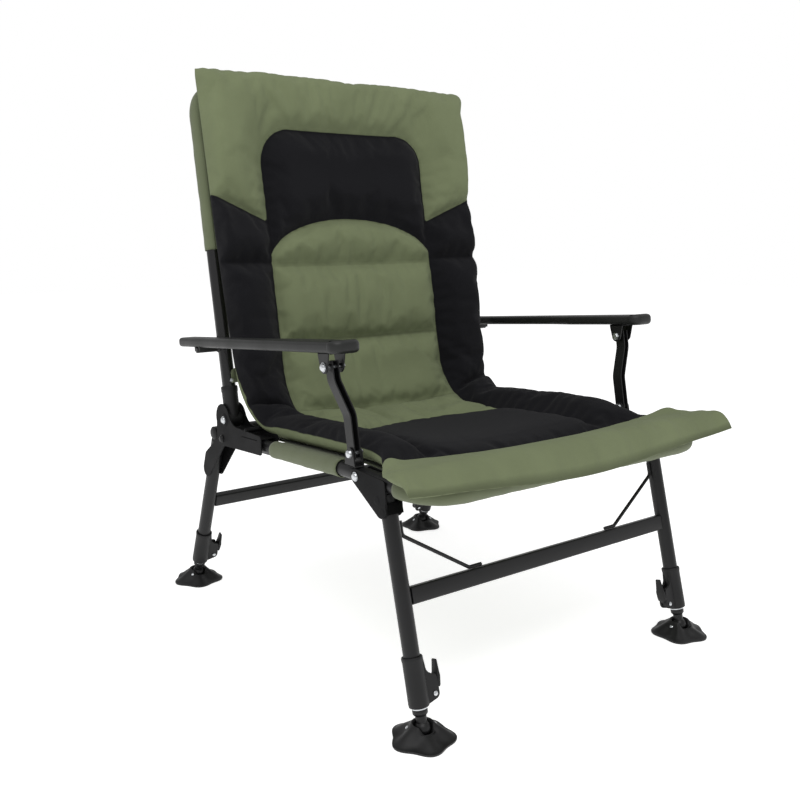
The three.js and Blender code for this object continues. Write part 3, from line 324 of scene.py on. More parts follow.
def linear(hex_colour):
    """sRGB hex to linear values, by the standard curve."""
    values = [int(hex_colour[i : i + 2], 16) / 255 for i in (1, 3, 5)]
    return tuple(v / 12.92 if v <= 0.04045 else ((v + 0.055) / 1.055) ** 2.4 for v in values) + (1.0,)


def add(tree, kind, links=(), values=(), **settings):
    """Adds one node with its settings and values, and joins its sockets to the outputs that feed them."""
    node = tree.nodes.new(kind)
    for key, value in settings.items():
        setattr(node, key, value)
    for key, value in dict(values).items():
        node.inputs[key].default_value = value
    for key, output in dict(links).items():
        tree.links.new(output, node.inputs[key])
    return node


def surface(name, roughness, metallic=0.0, **sockets):
    material = bpy.data.materials.new(name)
    material.use_nodes = True
    shader = material.node_tree.nodes["Principled BSDF"]
    for key, value in {"Roughness": roughness, "Metallic": metallic, **sockets}.items():
        shader.inputs[key.replace("_", " ")].default_value = value
    return material, material.node_tree, shader


def grainy(name, slot, dark, light, roughness, grain_mm, bump, metallic=0.0, cloud_mm=60.0, **sockets):
    """A sprayed or moulded finish: a fine grain in the bump, and a slow cloud that shifts colour and gloss."""
    material, tree, shader = surface(name, roughness, metallic, **sockets)
    place = add(tree, "ShaderNodeTexCoord").outputs["Object"]
    noise = {"Scale": 1000 / cloud_mm, "Detail": 3.0}
    cloud = add(tree, "ShaderNodeTexNoise", {"Vector": place}, noise).outputs["Fac"]
    fine = add(tree, "ShaderNodeTexNoise", {"Vector": place}, {"Scale": 1000 / grain_mm, "Detail": 2.0})
    shades = {"A": linear(dark), "B": linear(light)}
    tint = add(tree, "ShaderNodeMix", {"Factor": cloud}, shades, data_type="RGBA")
    tree.links.new(tint.outputs["Result"], shader.inputs["Base Color"])
    spread = zip(RANGE, (0.3, 0.7, roughness - 0.05, roughness + 0.07))
    gloss = add(tree, "ShaderNodeMapRange", {"Value": cloud}, spread)
    tree.links.new(gloss.outputs["Result"], shader.inputs["Roughness"])
    depth = {"Strength": bump, "Distance": GRAIN_DEPTH}
    relief = add(tree, "ShaderNodeBump", {"Height": fine.outputs["Fac"]}, depth)
    tree.links.new(relief.outputs["Normal"], shader.inputs["Normal"])
    return material, slot


# Satin powder coat on steel: an even dark grey with a faint orange peel, here 1.4 mm so that it shows.
powder_coat = grainy(
    "satin_powder_coat_on_steel", "frame_paint", "#101011", "#171718", 0.38, 1.4, 0.25, Specular_IOR_Level=0.3
)
# Matte powder coat on the pressed parts: darker, with hardly any shine on their flat faces.
matte = ("matte_powder_coat_on_pressed_steel", "frame_paint", "#0d0d0e", "#131314", 0.62, 1.4, 0.3)
matte_coat = grainy(*matte, Specular_IOR_Level=0.12)
# Gloss enamel on the back tube: nearly black with a clear reflection.
enamel = grainy("gloss_enamel_on_steel", "back_tube_paint", "#0c0c0d", "#131314", 0.16, 3.0, 0.06)
# Zinc plate on fasteners: bright and slightly clouded.
zinc = grainy("bright_zinc_plate", "zinc", "#b3b6ba", "#d8dadc", 0.28, 0.8, 0.1, 1.0, 9.0)
# Moulded nylon of collars, levers, sockets and feet: matte, with a spark-eroded grain of about 1 mm.
nylon = grainy(
    "moulded_glass_filled_nylon", "black_plastic", "#101011", "#171718", 0.5, 1.1, 0.35,
    Specular_IOR_Level=0.3,
)
# Moulded polypropylene of the armrests: a little lighter, fine leather-like grain.
polypropylene = grainy(
    "moulded_polypropylene", "arm_plastic", "#141514", "#1d1e1d", 0.48, 1.3, 0.4, Specular_IOR_Level=0.35
)


def woven(tree, shader, colour):
    """Plain weave: two wave patterns at right angles on the cloth's own millimetres, over slow slubs and
    stains."""
    place = add(tree, "ShaderNodeUVMap", uv_map="cloth_mm").outputs["UV"]
    thread = {"Scale": 2 * math.pi / 20 / THREAD, "Distortion": 0.6, "Detail": 1.0}
    ways = [add(tree, "ShaderNodeTexWave", {"Vector": place}, thread, bands_direction=way) for way in "XY"]
    waves = {k: wave.outputs["Fac"] for k, wave in enumerate(ways)}
    weave = add(tree, "ShaderNodeMath", waves, operation="MULTIPLY")
    uneven = {"Scale": 0.12, "Detail": 5.0, "Roughness": 0.6}
    slub = add(tree, "ShaderNodeTexNoise", {"Vector": place}, uneven).outputs["Fac"]
    stain = add(tree, "ShaderNodeTexNoise", {"Vector": place}, {"Scale": 0.012, "Detail": 3.0}).outputs["Fac"]
    shade = add(tree, "ShaderNodeMath", {0: slub, 2: stain}, {1: 0.16}, operation="MULTIPLY_ADD")
    spread = zip(RANGE, (0.35, 0.85, 0.92, 1.08))
    value = add(tree, "ShaderNodeMapRange", {"Value": shade.outputs["Value"]}, spread)
    tinted = add(tree, "ShaderNodeHueSaturation", {"Color": colour, "Value": value.outputs["Result"]})
    tree.links.new(tinted.outputs["Color"], shader.inputs["Base Color"])
    depth = {"Strength": 0.35, "Distance": THREAD_DEPTH}
    threads = add(tree, "ShaderNodeBump", {"Height": weave.outputs["Value"]}, depth)
    relief = {"Height": slub, "Normal": threads.outputs["Normal"]}
    puckers = add(tree, "ShaderNodeBump", relief, {"Strength": 0.25, "Distance": PUCKER_DEPTH})
    tree.links.new(puckers.outputs["Normal"], shader.inputs["Normal"])


def sling_cloth():
    """Woven polyester, plain olive: matte with a soft sheen at grazing angles."""
    sheen = {"Sheen_Weight": 0.12, "Sheen_Roughness": 0.6}
    material, tree, shader = surface("woven_polyester_olive", 0.88, Specular_IOR_Level=0.25, **sheen)
    colour = add(tree, "ShaderNodeRGB")
    colour.outputs[0].default_value = linear(SLING_OLIVE)
    woven(tree, shader, colour.outputs[0])
    return material


def panel_cloth():
    """The mattress cover: olive where the piece's own attribute panel is above zero, black elsewhere. The
    attribute is the distance in millimetres to the panel's edge, so the edge stays crisp. Cloth within 5 mm
    of a seam is painted darker: painted shade in the seam's crease."""
    sheen = {"Sheen_Weight": 0.03, "Sheen_Roughness": 0.6}
    material, tree, shader = surface("woven_polyester_panels", 0.95, Specular_IOR_Level=0.12, **sheen)
    edge = add(tree, "ShaderNodeAttribute", attribute_name="panel").outputs["Fac"]
    near = add(tree, "ShaderNodeAttribute", attribute_name="seam").outputs["Fac"]
    side = add(tree, "ShaderNodeMapRange", {"Value": edge}, zip(RANGE, (-0.6, 0.6, 0.0, 1.0)))
    shades = {"A": linear(BLACK), "B": linear(OLIVE)}
    mix = add(tree, "ShaderNodeMix", {"Factor": side.outputs["Result"]}, shades, data_type="RGBA")
    # Painted shade: the colour's value falls to 0.62 at a seam and comes back to full within 5 mm, darkening
    # the crease.
    painted_crease_shade = add(tree, "ShaderNodeMapRange", {"Value": near}, zip(RANGE, (0.0, 5.0, 0.62, 1.0)))
    sockets = {"Color": mix.outputs["Result"], "Value": painted_crease_shade.outputs["Result"]}
    woven(tree, shader, add(tree, "ShaderNodeHueSaturation", sockets).outputs["Color"])
    return material


olive_cloth = sling_cloth()
mattress_cloth = panel_cloth()

# The frame's tubes: their bends' radii are those of the tubes' axes.

RAIL_BEND, BAR_BEND, BACK_BEND = 260.0, 58.0, 52.0
BACK_FOOT = 17.0


def tube(name, corners, radii, finish, body, up=(0, 0, 1), to_chair=leaning(0, 0, 0)):
    """A round tube bent along its corners; up and the corners are in the frame that to_chair gives."""
    up = to_chair(up) - to_chair((0, 0, 0))
    piece(name, capped(sweep(to_chair(line(corners, radii)), circle(TUBE), up)), finish, body)


rail_end = CROSS_Y - TUBE - FIT
rail = [(-HALF, rail_end, rail_z(rail_end)), (-HALF, RAIL_BEND_Y, RAIL_FRONT), (-HALF, BAR_Y, RAIL_FRONT)]
rail += [(-x, y, z) for x, y, z in reversed(rail)]
tube("seat_tube.bent", rail, (RAIL_BEND, BAR_BEND, BAR_BEND, RAIL_BEND), powder_coat, "seat_frame")
cross = [(-CROSS_REACH, CROSS_Y, CROSS_Z), (CROSS_REACH, CROSS_Y, CROSS_Z)]
tube("rear_cross_tube.drawn", cross, (), powder_coat, "seat_frame")
back = [(-HALF, 0, BACK_FOOT), (-HALF, 0, BAR_TOP), (HALF, 0, BAR_TOP), (HALF, 0, BACK_FOOT)]
tube("back_tube.bent", back, (BACK_BEND, BACK_BEND), enamel, "backrest", (0, 1, 0), back_frame())

# Profiles of turned parts, as (radius, height).
BOLT_HEAD = [(0, 4.6), (2.6, 4.5), (4.6, 3.9), (6.0, 2.6), (6.3, 1.0), (7.2, 0.9), (7.2, 0.0), (0, 0.0)]
BOLT_NUT = [(0, -4.4), (5.4, -4.4), (6.2, -3.6), (6.2, -1), (7.2, -0.9), (7.2, 0), (0, 0)]
PLUG = [(0, 4.3), (6, 4.0), (10, 2.9), (TUBE, 0.8), (TUBE, 0.3), (10.6, 0.3), (10.6, -12), (0, -12)]
LUG_STUD = [(0, 5.0), (3.4, 4.7), (5.6, 3.4), (6.4, 1.2), (6.6, 0.0), (3.8, 0.0), (3.8, -18.2), (6.6, -18.2)]
LUG_STUD += [(6.4, -19.5), (5, -22), (0, -22.8)]
SOCKET_EYE = [(0, -14.9), (12.5, -14.9), (14.5, -13), (14.5, 13), (12.5, 14.9), (0, 14.9)]
SOCKET_SLEEVE = [(0, 0.3), (14.0, 0.3), (14.6, 8), (14.6, 50), (15.4, 52), (15.4, 60), (14.2, 62), (12.8, 62)]
SOCKET_SLEEVE += [(0, 61)]
ARM_PIN = [(0, 4), (5, 4), (5, 54.4), (4.2, 55.6), (0, 56)]
ARM_PIN_WELD = [(5, 11), (7.4, 11.6), (6.2, 14), (5, 15.2)]
CLOTH_SCREW = [(0, 12.4), (4.8, 12.4), (4.8, 15.6), (4.4, 17.2), (2.6, 18.4), (0, 18.6)]
CLOTH_SCREW_TAIL = [(0, -19.8), (2.4, -19.5), (2.4, -16.8), (4.2, -16.6), (4.2, -12.4), (0, -12.4)]
CLOTH_SCREW_Z = 72.0

# Recliner bracket: its cheeks' inner and outer faces from the rail's middle, its lobe and the plate's top
# edge.
CHEEK_NEAR, CHEEK_FAR = 15.5, 17.7
LOBE_Y, LOBE_Z, LOBE = 202.0, 377.0, 27.0
CHEEK_TOP, CHEEK_HOLLOW, CHEEK_FRONT = 369.0, 34.0, 60.0
WEB_Y, WEB_LENGTH, RIVET = 97.0, 62.0, (111.0, 370.0)
HINGE_BOSS = [(0, 1.0), (11.0, 1.0), (13.5, 0.1), (13.5, -1), (0, -1)]
# Strut lug: half its width over the ears, and the radii of the eye and of the ears' feet.
LUG, LUG_EYE, LUG_TOE, LUG_LENGTH = 8.8, 9.5, 2.6, 22.0


def bolt(x, sign, reach, y, z):
    """A bolt across x: shank, washer and domed head outwards, washer and hexagon nut inwards."""
    end, radius, edge = reach + FIT, 3.8, 0.5
    outer, inner = lathe(BOLT_HEAD, 32, "x", x + end), lathe(BOLT_NUT, 6, "x", x - end)
    shank = [(radius - edge, -end), (radius, edge - end), (radius, end - edge), (radius - edge, end)]
    return sided(shifted(merge(outer, inner, lathe(shank, 28, "x", x)), 0, y, z), sign)


def bracket_outline():
    """The cheek of the recliner bracket as (y, z): a plate along the rail that rises to the hinge's round
    lobe. Plate and lobe meet in a hollow curve whose ends touch the plate's top edge and the lobe."""
    hollow_z, rear, front, quarter = CHEEK_TOP + CHEEK_HOLLOW, 9.0, 6.0, math.pi / 2
    hollow_y = LOBE_Y - math.sqrt((LOBE + CHEEK_HOLLOW) ** 2 - (hollow_z - LOBE_Z) ** 2)
    contact = math.atan2(hollow_z - LOBE_Z, hollow_y - LOBE_Y)
    toe = -quarter - 0.03
    lobe = arc(LOBE_Y, LOBE_Z, LOBE, contact, -0.35, 20)
    heel = arc(220, float(rail_z(220)) - 4, rear, -0.3, toe, 8)
    under = arc(CHEEK_FRONT, float(rail_z(CHEEK_FRONT)) - 6, front, toe, -math.pi, 8)
    over = arc(CHEEK_FRONT, CHEEK_TOP - front, front, math.pi, quarter, 6)
    hollow = arc(hollow_y, hollow_z, CHEEK_HOLLOW, -quarter, contact - math.pi, 8)[:-1]
    return np.vstack([lobe, heel, under, over, hollow])


def recliner_bracket():
    """Two cheeks with a round lobe, a web over the rail, a rivet and a pressed boss at the hinge."""
    outline, far = bracket_outline(), CHEEK_FAR
    web = block((HALF - far, HALF + far), (-WEB_LENGTH / 2, WEB_LENGTH / 2), (12.8, 15.0))
    web = moved(web, leaning(WEB_Y, float(rail_z(WEB_Y)), -math.atan(RAIL_SLOPE)))
    rivet = [(0, far + 1.8), (2.8, far + 1.5), (4.2, far), (4.2, -far), (2.8, -far - 1.5), (0, -far - 1.8)]
    boss = lathe(HINGE_BOSS, 40, "x", HALF + far)
    cheeks = plate(outline, HALF + CHEEK_NEAR), plate(outline, HALF - CHEEK_NEAR - SHEET)
    rivet = shifted(lathe(rivet, 24, "x", HALF), 0, *RIVET)
    return merge(*cheeks, web, rivet, shifted(boss, 0, HINGE_Y, HINGE_Z))


def strut_lug():
    """A base strap on the rail and two rounded ears."""
    base = RAIL_FRONT + 12.8
    toes = [(STRUT_Y + way * LUG_LENGTH / 2, base + LUG_TOE, LUG_TOE) for way in (-1, 1)]
    ear = band([(STRUT_Y, STRUT_Z, LUG_EYE), *toes])
    reach = LUG_LENGTH / 2 + LUG_TOE
    strap = block((STRUT_X - LUG, STRUT_X + LUG), (STRUT_Y - reach, STRUT_Y + reach), (base, base + SHEET))
    return merge(plate(ear, STRUT_X + LUG - SHEET), plate(ear, STRUT_X - LUG), strap)


def frame_set(side, sign):
    """What sits on one rail and one upright: plug, bracket, bolts, lug, socket, arm pin and the cloth's
    screw."""
    plug = sided(shifted(lathe(PLUG, 32, "x", CROSS_REACH), 0, CROSS_Y, CROSS_Z), sign)
    piece(f"cross_tube_plug_{side}.moulded", plug, nylon, "seat_frame")
    piece(f"recliner_bracket_{side}.pressed", sided(recliner_bracket(), sign), matte_coat, "seat_frame", 0.5)
    hinge_bolt = bolt(HALF, sign, CHEEK_FAR + 0.7, HINGE_Y, HINGE_Z)
    piece(f"recliner_hinge_bolt_{side}.zinc", hinge_bolt, zinc, "seat_frame")
    piece(f"front_leg_pivot_bolt_{side}.zinc", bolt(HALF, sign, 15.0, *PIVOT["front"]), zinc, "seat_frame")
    rear_bolt = bolt(HALF, sign, CHEEK_FAR, *PIVOT["rear"])
    piece(f"rear_leg_pivot_bolt_{side}.painted", rear_bolt, powder_coat, "seat_frame")
    piece(f"strut_lug_{side}.pressed", sided(strut_lug(), sign), powder_coat, "seat_frame", 0.5)
    stud = sided(shifted(lathe(LUG_STUD, 28, "x", STRUT_X + LUG), 0, STRUT_Y, STRUT_Z), sign)
    piece(f"strut_lug_stud_{side}.zinc", stud, zinc, "seat_frame", added=True)

    to_chair = back_frame(sign)
    socket = merge(lathe(SOCKET_EYE, 40, "x", HALF), shifted(lathe(SOCKET_SLEEVE, 40), HALF))
    piece(f"back_socket_{side}.moulded", moved(socket, to_chair), nylon, "backrest")
    c, s = math.cos(RECLINE), math.sin(RECLINE)
    pin = merge(lathe(ARM_PIN, 24, "x", HALF), lathe(ARM_PIN_WELD, 24, "x", HALF))
    pin = shifted(pin, 0, c * LINK[0] - s * LINK[1], s * LINK[0] + c * LINK[1])
    piece(f"arm_pin_{side}.painted", moved(pin, to_chair), powder_coat, "backrest")
    screw = merge(lathe(CLOTH_SCREW, 24, "y"), lathe(CLOTH_SCREW_TAIL, 24, "y"))
    screw = moved(shifted(screw, HALF, 0, CLOTH_SCREW_Z), to_chair)
    piece(f"cloth_screw_{side}.zinc", screw, zinc, "backrest", added=True)


for side, sign in SIDES:
    frame_set(side, sign)

# The leg frames. Their gussets are channels of this half width, inside and outside the sheet.

GUSSET_NEAR, GUSSET = 12.8, 15.0
# The heights between which a gusset wraps its leg, its radius round the pivot, and its nose along the rail.
GUSSET_Z = {"front": (328.0, 342.0), "rear": (262.0, 286.0)}
PIVOT_LOBE, NOSE = {"front": 11.8, "rear": 11.0}, (-305.0, RAIL_FRONT + 4.3, 5.0)
CROSSBAR_Z = {"front": 200.0, "rear": 187.0}
LEG_FOOT, LEG_TOP = 54.0, {"front": 340.0, "rear": 328.0}
CROSSBAR = (15.0, 26.0, 3.0)
DIMPLE = [(0, 14.9), (4, 15.6), (7.5, 15.0), (7.5, 14), (0, 14)]
WIRE, WIRE_GAP, WIRE_FOOT, WIRE_BEND = 3.0, 3.3, 166.0, 9.0


def leg_set(end):
    """Crossbar, and for each side the outer tube, gusset, the front frame's wire brace and telescopic leg."""
    body, pivot = f"{end}_legs", into(end, *PIVOT[end])

    def along(z):
        return (z - ANKLE_Z) / math.cos(LEAN[end])

    bar_z, half = along(CROSSBAR_Z[end]), HALF - TUBE - 0.4
    bar = capped(sweep(np.array([[-half, 0, bar_z], [half, 0, bar_z]]), rounded_box(*CROSSBAR), (0, 1, 0)))
    piece(f"{end}_crossbar.drawn", moved(bar, leg_frame(end)), powder_coat, body)
    for side, sign in SIDES:
        to_chair = leg_frame(end, sign)
        path = np.array([[HALF, 0, LEG_FOOT], [HALF, 0, LEG_TOP[end]]])
        leg = capped(sweep(path, circle(TUBE, 36), (0, 1, 0)))
        piece(f"{end}_leg_tube_{side}.drawn", moved(leg, to_chair), powder_coat, body)
        wide, ends = (HALF - GUSSET, HALF + GUSSET), [along(z) for z in GUSSET_Z[end]]
        discs = [(*pivot, PIVOT_LOBE[end]), *((0, z, GUSSET) for z in ends)]
        if end == "front":
            discs.append((*into(end, *NOSE[:2]), NOSE[2]))
            web = block(wide, (-GUSSET, -GUSSET_NEAR), (along(318), ends[1] - 7.5))
            dimple = lathe(DIMPLE, 32, "x", HALF)
            extra = [web, shifted(dimple, 0, 6, along(340)), shifted(dimple, 0, -2, along(322))]
        else:
            extra = [block(wide, (GUSSET_NEAR, GUSSET), ends)]
        cheeks = [plate(band(discs), near) for near in (HALF + GUSSET_NEAR, HALF - GUSSET)]
        gusset = merge(*cheeks, *extra)
        piece(f"{end}_leg_gusset_{side}.pressed", moved(gusset, to_chair), matte_coat, body, 0.5)
        if end == "front":
            seat, leg_x, top = bar_z + CROSSBAR[1] / 2 + WIRE_GAP, HALF - TUBE - WIRE_GAP, along(306)
            corners = [(WIRE_FOOT - 24, 0, seat), (WIRE_FOOT, 0, seat), (leg_x, 0, top - 22), (leg_x, 0, top)]
            wire = capped(sweep(line(corners, (WIRE_BEND, WIRE_BEND)), circle(WIRE, 16), (0, 1, 0)))
            piece(f"leg_brace_{side}.drawn", moved(wire, to_chair), powder_coat, body)
        collar_and_lever(end, side, to_chair)
        inner_leg(end, side, to_chair)
        mud_foot(end, side, sign)


# Collar and lever, in the leg's own frame. Inwards is the side facing the other leg.
COLLAR_WALL = [(11.0, 31.4), (13.8, 31), (15.2, 32.4), (15.6, 36), (15.4, 60), (15.2, 96), (15.9, 100)]
COLLAR_WALL += [(15.9, 103), (15.2, 104.5), (13.6, 104.5), (12.9, 102.5), (12.9, 60), (11.0, 54)]
LEVER_X, LEVER_Z = HALF - 26, 44.0
EAR, EAR_GAP, EAR_SHEET = 8.4, 4.2, 4.0
LEVER_HUB = [(0, -3.9), (6.5, -3.9), (6.5, 3.9), (0, 3.9)]
PIN_HEAD = [(0, -10.8), (2.4, -10.5), (3.6, -9.5), (3.6, -8.5), (0, -8.5)]
PIN_SHANK = [(0, -8.5), (2.8, -8.5), (2.8, 8.5), (0, 8.5)]
PIN_TAIL = [(0, 8.5), (4.2, 8.5), (4.2, 9.8), (3.2, 10.8), (0, 11.0)]


def collar_and_lever(end, side, to_chair):
    """The clamp round the leg's lower end, with two ears, and between them the cam lever: a paddle swept
    along a bent line, drawn in to an ellipse at its tip, on a hub and a pin."""
    x, z = LEVER_X, LEVER_Z
    round_end = arc(x, z, EAR, -1.9, -math.pi, 10)
    hollow = arc(HALF - 30, 87, 14.5, 0.25 - math.pi / 2, 0, 8)
    ear = [(HALF - 2, 33), (HALF - 14, 32.5), *round_end, (x - 7.5, 66), (x - 5.5, 71), (x - 1, 73), *hollow]
    ear = np.array([*ear, (HALF - 14, 99), (HALF - 6, 103)])
    flats = [plate(ear, near, EAR_SHEET) for near in (EAR_GAP, -EAR_GAP - EAR_SHEET)]
    ears = [(points[:, [1, 0, 2]], quads, ends) for points, quads, ends in flats]
    rib = block((HALF - 15.2, HALF - 12), (-4, 4), (60, 96), 1.2)
    collar = merge(shifted(ring(COLLAR_WALL, 48), HALF), *ears, rib)
    piece(f"{end}_leg_collar_{side}.moulded", moved(collar, to_chair), nylon, f"{end}_legs", 0.7)

    path = line([(x, 0, z - 2), (x - 9.5, 0, z + 10), (x - 11.5, 0, 68), (x - 12.5, 0, 90)], (9, 60), 3)
    run = np.linspace(0, 1, len(path))
    tip = np.sqrt(np.clip(1 - ((run - 0.82) / 0.185) ** 2, 0.02, 1)) * (run > 0.82) + (run <= 0.82)
    high = (0.42 + 0.58 * smooth(run * 5)) * (0.45 + 0.55 * tip)
    scale = np.stack([high, (1.15 - 0.15 * run) * (0.35 + 0.65 * tip)], -1)
    paddle = capped(sweep(path, rounded_box(17, 6.4, 2.6), (0, 1, 0), scale))
    lever = merge(paddle, shifted(lathe(LEVER_HUB, 32, "y"), x, 0, z))
    body = f"{end}_lever_{side}"
    piece(f"{end}_collar_lever_{side}.moulded", moved(lever, to_chair), nylon, body, 0.8)
    pin = merge(lathe(PIN_HEAD, 28, "y"), lathe(PIN_SHANK, 20, "y"), lathe(PIN_TAIL, 28, "y"))
    piece(f"{end}_lever_pin_{side}.zinc", moved(shifted(pin, x, 0, z), to_chair), zinc, body, added=True)


# The inner leg: the ankle ball, its neck, the ferrule and the tube that slides in the outer leg.
BALL, NECK = 12.0, 8.2
INNER_LEG = [(8.2, 12), (8.4, 18.5), (10.2, 20.5), (11.4, 22), (11.6, 27), (11.0, 28.2), (10.4, 28.6)]
INNER_LEG += [(10.4, 245.4), (9.8, 246), (0, 246)]
ZINC_RING = [(10.5, 28.8), (11.7, 28.8), (11.7, 30.4), (10.5, 30.4)]


def inner_leg(end, side, to_chair):
    turn = np.linspace(np.pi, math.asin(NECK / BALL), 16)
    ball = [(BALL * math.sin(t), BALL * math.cos(t)) for t in turn]
    leg = shifted(lathe(ball + INNER_LEG, 40), HALF)
    body = f"{end}_lower_leg_{side}"
    piece(f"{end}_inner_leg_{side}.drawn", moved(leg, to_chair), powder_coat, body)
    seal = shifted(ring(ZINC_RING, 40), HALF)
    piece(f"{end}_leg_ring_{side}.zinc", moved(seal, to_chair), zinc, body, added=True)


# The mud foot: its lobes and how far they draw in the rim, its rows as shares from hub to rim, the cup's
# wall, and the rivets' place, lean and turns.
LOBES, LOBE_SHARE, HUB, RIM = 5, 0.07, 18.0, 50.0
ROW_SHARES = (0.1, 0.25, 0.45, 0.65, 0.82, 0.94, 1.0)
CUP_WALL = ((11.5, 8.0), (12.6, 14.0), (13.2, 21.0), (14.6, 25.0))
CUP_DIP, FOLD = 11.0, 2.6
STUD = [(0, 2.4), (1.8, 2.2), (2.8, 1.4), (2.9, 0), (0, 0)]
STUD_LEAN, STUD_OUT, STUD_Z, STUD_TURNS = math.radians(40), 22.0, 17.6, (-math.pi / 5, math.pi)


def mud_foot(end, side, sign):
    """A broad moulded foot. Seen from above its edge is a circle drawn in between five lobes; each lobe
    carries a rounded fold that rises to the hub, whose rim dips towards the chair's front so that the ball
    can be pressed in."""
    turn = np.arange(120) / 120 * 2 * np.pi
    wave, same = np.cos(LOBES * turn), np.ones_like(turn)
    opening = math.pi / 2 if end == "front" else -math.pi / 2
    dip = CUP_DIP * smooth((np.cos(turn - opening) - 0.45) / 0.5)
    edge = RIM * (1 - LOBE_SHARE * (1 - wave))
    rows = [(same * radius, z - dip * (z > 10) * (z / 25)) for radius, z in CUP_WALL]
    rows += [(same * 16.6, 26.0 - dip), (same * HUB, 24.5 - dip)]
    for share in ROW_SHARES:
        fold = FOLD * wave * math.sin(math.pi * min(1.0, share * 1.05)) ** 1.2
        rows.append((HUB + (edge - HUB) * share, 3.6 + (20.5 - dip * 0.6) * (1 - share) ** 1.5 + fold))
    rows += [(edge * 0.999, same * 1.6), (edge * 0.985, same * 0.15), (edge * 0.9, same * 0)]
    points = np.stack([np.stack([r * np.cos(turn), r * np.sin(turn), z], -1) for r, z in rows])
    flip = np.array([1, 1 if end == "rear" else -1, 1])
    to_chair, body = leaning(STANDS[end], 0, 0, sign), f"{end}_foot_{side}"
    piece(f"{body}.moulded", moved(shifted(capped(points * flip), HALF), to_chair), nylon, body, sharp=50)
    studs = []
    for angle in STUD_TURNS:
        out, up = np.array([math.cos(angle), flip[1] * math.sin(angle), 0]), np.array([0, 0, 1])
        axis = out * math.sin(STUD_LEAN) + up * math.cos(STUD_LEAN)
        over = out * math.cos(STUD_LEAN) - up * math.sin(STUD_LEAN)
        points, quads, ends = lathe(STUD, 20)
        leant = (points @ np.stack([over, np.cross(axis, over), axis]), quads, ends)
        studs.append(shifted(leant, HALF + STUD_OUT * out[0], STUD_OUT * out[1], STUD_Z))
    piece(f"{body}_screws.zinc", moved(merge(*studs), to_chair), zinc, body, added=True)


for end in ("front", "rear"):
    leg_set(end)

# The armrest linkage: the board's ends and fall, the middle of its bracket, and its height over the arm pin.

ARM_FRONT, ARM_REAR, ARM_TOP, ARM_FALL = -248.0, 302.0, RAIL_FRONT + 197, 47.0
ARM_X, ARM_HIGH = 323.5, 17.0
ARM_SLOPE = math.atan2(-ARM_FALL, ARM_REAR - ARM_FRONT)
ARM_RISE = ARM_TOP + math.tan(ARM_SLOPE) * (STRUT_Y + LINK[0] - ARM_FRONT) - STRUT_Z - LINK[1]
ARM_RISE *= math.cos(ARM_SLOPE)
STRUT_SECTION = [(-5.2, 10), (5.2, 10), (6, 9.2), (6, -10), (4, -10), (4, 8), (-4, 8), (-4, -10), (-6, -10)]
STRUT_SECTION += [(-6, 9.2)]
STRUT_LINE = [(STRUT_X, 0, -9), (STRUT_X, 0, 58), (ARM_X, 0, 112), (ARM_X, 0, LINK_LENGTH + 9)]
BRACKET_NEAR, BRACKET_FAR = 13.0, 15.2


def board(outline, low, high, radius):
    """A slab with rounded long edges: radius * (1 - cos) from its top or bottom the outline is drawn in by
    radius * (1 - sin) of the same turn."""
    along = np.roll(outline, -1, 0) - np.roll(outline, 1, 0)
    along /= np.linalg.norm(along, axis=1, keepdims=True)
    inward = np.stack([-along[:, 1], along[:, 0]], -1)
    inward *= np.sign(((outline.mean(0) - outline) * inward).sum(1).mean())
    turns = np.linspace(0, np.pi / 2, 6)
    levels = [(1 - math.sin(t), low + radius * (1 - math.cos(t))) for t in turns]
    levels += [(1 - math.sin(t), high - radius * (1 - math.cos(t))) for t in turns[::-1]]
    rings = [np.c_[outline + inward * radius * inset, np.full(len(outline), z)] for inset, z in levels]
    return capped(np.stack(rings))


def round_corners(corners):
    """A closed outline from corners (x, y, radius): each becomes an arc that touches both its sides."""
    around = [(x, y, 0) for x, y, _ in (corners[-1], *corners, corners[0])]
    return line(around, [radius for _, _, radius in corners], count=8)[1:-1, :2]


